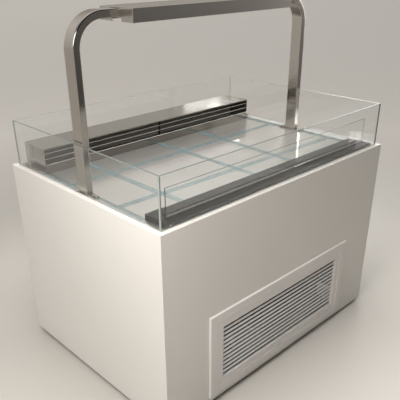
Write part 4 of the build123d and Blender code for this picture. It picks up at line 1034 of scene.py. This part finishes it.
def slab(build, low, high):
    """A flat block between two corners, given in millimetres."""
    corners = [build.verts.new((x * mm, y * mm, z * mm)) for x in (low[0], high[0])
               for y in (low[1], high[1]) for z in (low[2], high[2])]
    return [build.faces.new([corners[index] for index in loop]) for loop in block_faces]


def fin_stack(build, count, first_x, pitch, low, high):
    """A row of thin fins along X, each from a low to a high corner in Y and Z."""
    for step in range(count):
        x = first_x + step * pitch
        slab(build, (x - fin_sheet / 2, *low), (x + fin_sheet / 2, *high))


def return_bend(build, middle, across, outwards, radius, tube):
    """Half a ring of tube that joins two straight tubes of a coil."""
    middle, across, outwards = Vector(middle) * mm, Vector(across), Vector(outwards)
    upright = across.cross(outwards)
    rings = []
    for turn in (math.pi * step / 12 for step in range(13)):
        away = swing(across, outwards, turn)
        rings.append([middle + away * (radius + tube * math.cos(lap)) * mm
                      + upright * tube * math.sin(lap) * mm for lap in full_turn(12)])
    skin_rings(build, rings, material=copper_index)


def stub(build, start, end):
    """A short open pipe end, given in millimetres."""
    run = Vector(end) - Vector(start)
    profile = [(stub_radius * 1.25, 0), (stub_radius, 3), (stub_radius, run.length),
               (stub_bore, run.length), (stub_bore, 0)]
    turned(build, profile, Vector(start) * mm, run, 16, copper_index, closed_profile=True)


print("coil helpers ready")

# %% Stack the evaporator
coil_end, low_row, mid_row, top_row = 542.5, 722, 754, 786
build = bmesh.new()
fin_stack(build, count=180, first_x=-537, pitch=6, low=(-150, 698), high=(30, 810))
for side, _ in sides:
    slab(build, (side * (coil_end - 2), -158, 684), (side * coil_end, 38, 816))
for z in (low_row, mid_row, top_row):
    for y in (-108, -12):
        return_bend(build, (coil_end, y, z), (0, 1, 0), (1, 0, 0), radius=24, tube=6)
for z in (low_row, top_row):
    return_bend(build, (-coil_end, -60, z), (0, 1, 0), (-1, 0, 0), radius=24, tube=6)
for y in (-90, -30):
    stub(build, (-coil_end, y, mid_row), (-coil_end - 15, y, mid_row))
evaporator = built_piece("evaporator_fins", build, 35, "cabinet", "coil_metal", fin_metal, copper)
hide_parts("evaporator_coil")

# %% Stack the condenser
build = bmesh.new()
fin_stack(build, count=94, first_x=24, pitch=4, low=(-416, 92), high=(-364, 378))
for x in (20, 398):
    slab(build, (x, -420, 80), (x + 2, -360, 390))
for y in (-404, -376):
    for z in (127, 199, 271, 343):
        return_bend(build, (400, y, z), (0, 0, 1), (1, 0, 0), radius=18, tube=5.5)
for z in (360, 120):
    stub(build, (20, -390, z), (5, -390, z))
condenser = built_piece("condenser_fins", build, 35, "cabinet", "coil_metal", coil_black_and_shade, copper)
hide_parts("condenser_coil")

# %% [markdown]
# ## Moulded fans
# A moulded blade is thin, cambered and twisted: steep near the hub, flatter at the tip. Each
# blade is a row of small wing sections from hub to tip, joined by bands of faces. The hub is
# turned with a bore, because the motor's shaft runs through it.

# %% Shape of a fan blade
fan_blades, section_steps, span_steps = 5, 8, 7
root_pitch, tip_pitch, camber, blade_sweep = 42, 25, 0.10, 0.12
edge_thick, set_back, root_sunk = 0.35, 0.05, 0.6
widest, longest, tip_starts, tip_trim = 0.92, 0.95, 0.8, 0.25


def wing_section(middle, axis, radius, lead, pitch, chord, thick):
    """One closed section of a blade, wrapped round the fan's axis."""
    across = Vector((1, 0, 0))
    beside = axis.cross(across)
    ring = []
    for step in list(range(section_steps + 1)) + list(range(section_steps - 1, 0, -1)):
        face = 1 if len(ring) <= section_steps else -1
        share = step / section_steps
        along = (share - 0.5) * chord
        arch = math.sin(math.pi * share)
        rise = camber * chord * arch + face * thick / 2 * (edge_thick + (1 - edge_thick) * arch)
        turn = lead + (along * math.cos(pitch) - rise * math.sin(pitch)) / radius
        height = along * math.sin(pitch) + rise * math.cos(pitch) - set_back * chord
        ring.append(middle + axis * height + swing(across, beside, turn) * radius)
    return ring


print("blade", section_steps, "steps across,", span_steps, "along")

# %% Mould the fans
def moulded_fan(name, middle, radius, hub, width, bore, thick):
    """A five-bladed fan that turns about Y."""
    middle, axis = Vector(middle) * mm, Vector((0, 1, 0))
    build = bmesh.new()
    half, inner, boss = width / 2, hub - 2.5, bore + 4
    hub_profile = [(bore, -half), (hub - 3, -half), (hub - 0.8, 1.2 - half), (hub, 4 - half),
                   (hub, half), (inner, half), (inner, 2), (boss, 2), (boss, half - 1), (bore, half - 1)]
    turned(build, hub_profile, middle, axis, 40, closed_profile=True)
    for blade in range(fan_blades):
        rings = []
        for step in range(span_steps + 1):
            share = step / span_steps
            reach = (hub - root_sunk + share * (radius - hub + root_sunk)) * mm
            pitch = math.radians(root_pitch + (tip_pitch - root_pitch) * share)
            tip_cut = 1 - tip_trim * max(0, share - tip_starts) / (1 - tip_starts)
            chord = min(widest * width * mm / math.sin(pitch), longest * reach) * tip_cut
            lead = 2 * math.pi * blade / fan_blades + blade_sweep * share
            rings.append(wing_section(middle, axis, reach, lead, pitch, chord, thick * mm))
        rows = skin_rings(build, rings)
        build.faces.new(rows[-1])
    return finished_mesh(name, build, 40)


fan_rows = [(f"evaporator_fan_{number}", (x, 194, 752), 57, 20, 22, 4.5, 2.0)
            for number, x in ((1, -400), (2, 0), (3, 400))]
fan_rows.append(("condenser_fan", (210, -300, 235), 124, 32, 32, 5.5, 2.6))
for fan_name, *measures in fan_rows:
    fan = new_piece(f"moulded_{fan_name}", moulded_fan(fan_name, *measures),
                    fan_name, "fan_plastic", fan_plastic)
    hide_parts(fan_name)

# %% [markdown]
# ## Copper pipes
# The three rigid refrigerant lines are copper tube with machine-made elbows. A curve with
# two points per elbow, whose handles copy a quarter circle, bends as smoothly as the tube
# does. Its own bevel gives it thickness, and it is then turned into a mesh. The filter drier
# is a wider can in the liquid line with tapered ends, so it is spun from a profile.

# %% Helper that bends a pipe
quarter_circle, pipe_radius, pipe_bend = 0.5523, 5, 24


def bent_pipe(name, route):
    """A round pipe with smooth elbows through a route of corners, in millimetres."""
    corners = [Vector(point) * mm for point in route]
    spots = [corners[0]]
    for before, corner, after in zip(corners, corners[1:], corners[2:]):
        spots += [corner + (toward - corner).normalized() * pipe_bend * mm for toward in (before, after)]
    spots.append(corners[-1])
    curve = bpy.data.curves.new(name, "CURVE")
    curve.dimensions = "3D"
    curve.bevel_depth = pipe_radius * mm
    curve.bevel_resolution = 4
    curve.resolution_u = 8
    curve.use_fill_caps = True
    spline = curve.splines.new("BEZIER")
    spline.bezier_points.add(len(spots) - 1)
    for index, (point, spot) in enumerate(zip(spline.bezier_points, spots)):
        corner = corners[(index + 1) // 2]
        last, following = spots[max(index - 1, 0)], spots[min(index + 1, len(spots) - 1)]
        point.handle_left_type = point.handle_right_type = "FREE"
        point.co = spot
        inner = 0 < index < len(spots) - 1
        elbow = spot.lerp(corner, quarter_circle)
        point.handle_left = elbow if inner and index % 2 == 0 else spot.lerp(last, 1 / 3)
        point.handle_right = elbow if inner and index % 2 == 1 else spot.lerp(following, 1 / 3)
    return mesh_of_curve(name, curve)


print("pipe helper ready")

# %% Bend the pipes
routes = {
    "pipe_discharge": ((-180, 15, 228), (-180, -390, 228), (-180, -390, 360), (5, -390, 360)),
    "pipe_liquid": ((5, -390, 120), (-60, -390, 120), (-60, -90, 120), (-60, -90, 560),
                    (-590.5, -90, 560), (-590.5, -90, 754), (-557.5, -90, 754)),
    "pipe_suction": ((-557.5, -30, 754), (-590.5, -30, 754), (-590.5, -30, 520), (-350, -30, 520),
                     (-350, -30, 178), (-350, 120, 178), (-285, 120, 178)),
}
for pipe_name, route in routes.items():
    pipe = new_piece(pipe_name, bent_pipe(pipe_name, route), "cabinet", "copper", copper)
    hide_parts("refrigerant_pipes")

# %% Turn the filter drier
drier_profile = [(5.2, 230), (6, 236), (11, 246), (12, 250), (12, 320), (11, 324), (6, 334), (5.2, 340)]
build = bmesh.new()
turned(build, drier_profile, (-60 * mm, -90 * mm, 0), (0, 0, 1), 28)
drier = built_piece("filter_drier", build, 50, "cabinet", "copper", copper)
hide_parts("refrigerant_pipes")

# %% [markdown]
# ## The compressor
# A hermetic compressor is two drawn steel cups welded round the middle, painted black, on a
# foot plate with four holes. The can is turned, with the weld as a small step in its
# profile. The plate is a flat curve with holes, like the gantry's plates.

# %% Helpers for the compressor
def quarter(centre_r, centre_z, radius, start, stop, steps=8):
    """Points along a round edge of a turned profile."""
    turns = [math.radians(start + (stop - start) * step / steps) for step in range(steps + 1)]
    return [(centre_r + radius * math.cos(turn), centre_z + radius * math.sin(turn)) for turn in turns]


def soft_box(build, low, high, edge, material=0):
    """A block with rounded edges, given in millimetres."""
    before = set(build.faces)
    edges = dict.fromkeys(side for face in slab(build, low, high) for side in face.edges)
    bmesh.ops.bevel(build, geom=list(edges), offset=edge * mm, segments=3, profile=0.5, affect="EDGES")
    for face in build.faces:
        if face not in before:
            face.material_index = material


print("compressor helpers ready")

# %% Weld up the compressor
compressor_place = Vector((-180, 120, 0)) * mm
can_profile = (quarter(64, 118, 20, -90, 0) + [(84, 186), (85, 187), (85, 190), (84.4, 191)]
               + quarter(54.4, 273, 30, 0, 90) + [(20, 303)])
build = bmesh.new()
soft_box(build, (-111, 90, 153), (-71, 150, 223), 5, 2)
turned(build, can_profile, compressor_place, (0, 0, 1), 64)
stub(build, (-180, 40, 228), (-180, 15, 228))
stub(build, (-260, 120, 178), (-285, 120, 178))
can = built_piece("compressor_can", build, 40, "cabinet", "motor_paint",
                  motor_paint, copper, black_plastic)
foot_outline = rounded_outline(105 * mm, 80 * mm, 12 * mm, 5)
foot_holes = [(x * mm, y * mm, 4.5 * mm) for x in (-90, 90) for y in (-65, 65)]
foot_thick, foot_edge, foot_z = 4 * mm, 0.6 * mm, 96 * mm
plate = flat_plate("compressor_foot", foot_outline, foot_holes, foot_thick, foot_edge)
plate.transform(Matrix.Translation(compressor_place + Vector((0, 0, foot_z))))
foot_plate = new_piece("compressor_foot", plate, "cabinet", "motor_paint", motor_paint)
for piece in (can, foot_plate):
    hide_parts("compressor")

# %% [markdown]
# ## The controls
# Behind the grille door sit a thermostat knob and a rocker switch. The knob is a stack of
# fluted rings with a raised bar and a white pointer. Its scale and the switch's marks are
# printed on the real box: here they are text, thickened a hair and turned into a mesh, so
# that they stay sharp at any distance.

# %% Fluted knob
knob_x, knob_z = -288, 175
knob_place = Vector((knob_x, -430.5, knob_z)) * mm
knob_rings = ((19, 0, 0), (19, 1.5, 0.02), (17.9, 10.5, 0.02), (17.2, 12.4, 0), (16.2, 13, 0))
build = bmesh.new()
soft_box(build, (-290.5, -447.3, 159), (-285.5, -441.5, 191), 0.8, 0)
soft_box(build, (-288.7, -447.5, 177), (-287.3, -447.0, 190), 0.15, 1)
skin_rings(build, [lobed_ring(knob_place, (0, -1, 0), radius * mm, height * mm, 24, swell, 144)
                   for radius, height, swell in knob_rings], capped=True)
turned(build, [(3, 0), (3, 17), (2.4, 18)], knob_place, (0, 1, 0), 20)
knob = built_piece("thermostat_knob", build, 30, "thermostat_dial", "black_plastic",
                   black_plastic, board_white)
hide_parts("thermostat_dial")

# %% Scale and switch marks
mark_thick = 0.08 * mm


def print_marks(name, marks, body):
    """Raised marks: each is a text, a place in millimetres, a size and the way it faces."""
    build = bmesh.new()
    for text, place, size, out in marks:
        letters = bpy.data.curves.new(name, "FONT")
        letters.body = text
        letters.size = size * mm
        letters.align_x, letters.align_y = "CENTER", "CENTER"
        letters.extrude = mark_thick
        mesh = mesh_of_curve(name, letters)
        right = Vector((1, 0, 0))
        turn = Matrix((right, out.cross(right), out)).transposed().to_4x4()
        mesh.transform(Matrix.Translation(Vector(place) * mm) @ turn)
        build.from_mesh(mesh)
    built_piece(name, build, 35, body, "black_plastic", board_white)


scale_reach, scale_step, scale_face = 27, math.radians(45), -430.05
scale_marks = [(str(number), (knob_x + scale_reach * math.sin(scale_step * number), scale_face,
                              knob_z + scale_reach * math.cos(scale_step * number)),
                8, Vector((0, -1, 0))) for number in range(7)]
print_marks("dial_scale", scale_marks, "cabinet")

switch_place, rocker_lift, mark_apart, mark_size = Vector((-378, -427, 175)), 5.5, 7, 7
rocker_out = Vector((0, -1, 0.14)).normalized()
rocker_up = rocker_out.cross(Vector((1, 0, 0)))
rocker_face = switch_place + rocker_out * rocker_lift
print_marks("switch_marks", [("I", rocker_face + rocker_up * mark_apart, mark_size, rocker_out),
                             ("O", rocker_face - rocker_up * mark_apart, mark_size, rocker_out)],
            "power_switch")

# %% [markdown]
# ## Light chips in the lamp
# Three rows of small chips sit on the board in the lamp box, above the opal cover. They are
# one mesh of many rounded blocks, because identical chips never move apart.

# %% Place the chips
chip_half_x, chip_half_y = 1.8, 1.4
chip_low, chip_high, chip_edge = 1529.9, 1530.5, 0.15
build = bmesh.new()
for y in (-46, 0, 46):
    for x in range(-375, 376, 30):
        slab(build, (x - chip_half_x, y - chip_half_y, chip_low),
             (x + chip_half_x, y + chip_half_y, chip_high))
bmesh.ops.bevel(build, geom=list(build.edges), offset=chip_edge * mm, segments=1, affect="EDGES")
chip_yellow = plain_finish("chip_yellow", (0.80, 0.62, 0.12), (0.86, 0.70, 0.20), 200, 0.3, 0.45, 2000)
built_piece("light_chips", build, 35, "cabinet", "light_board", chip_yellow)
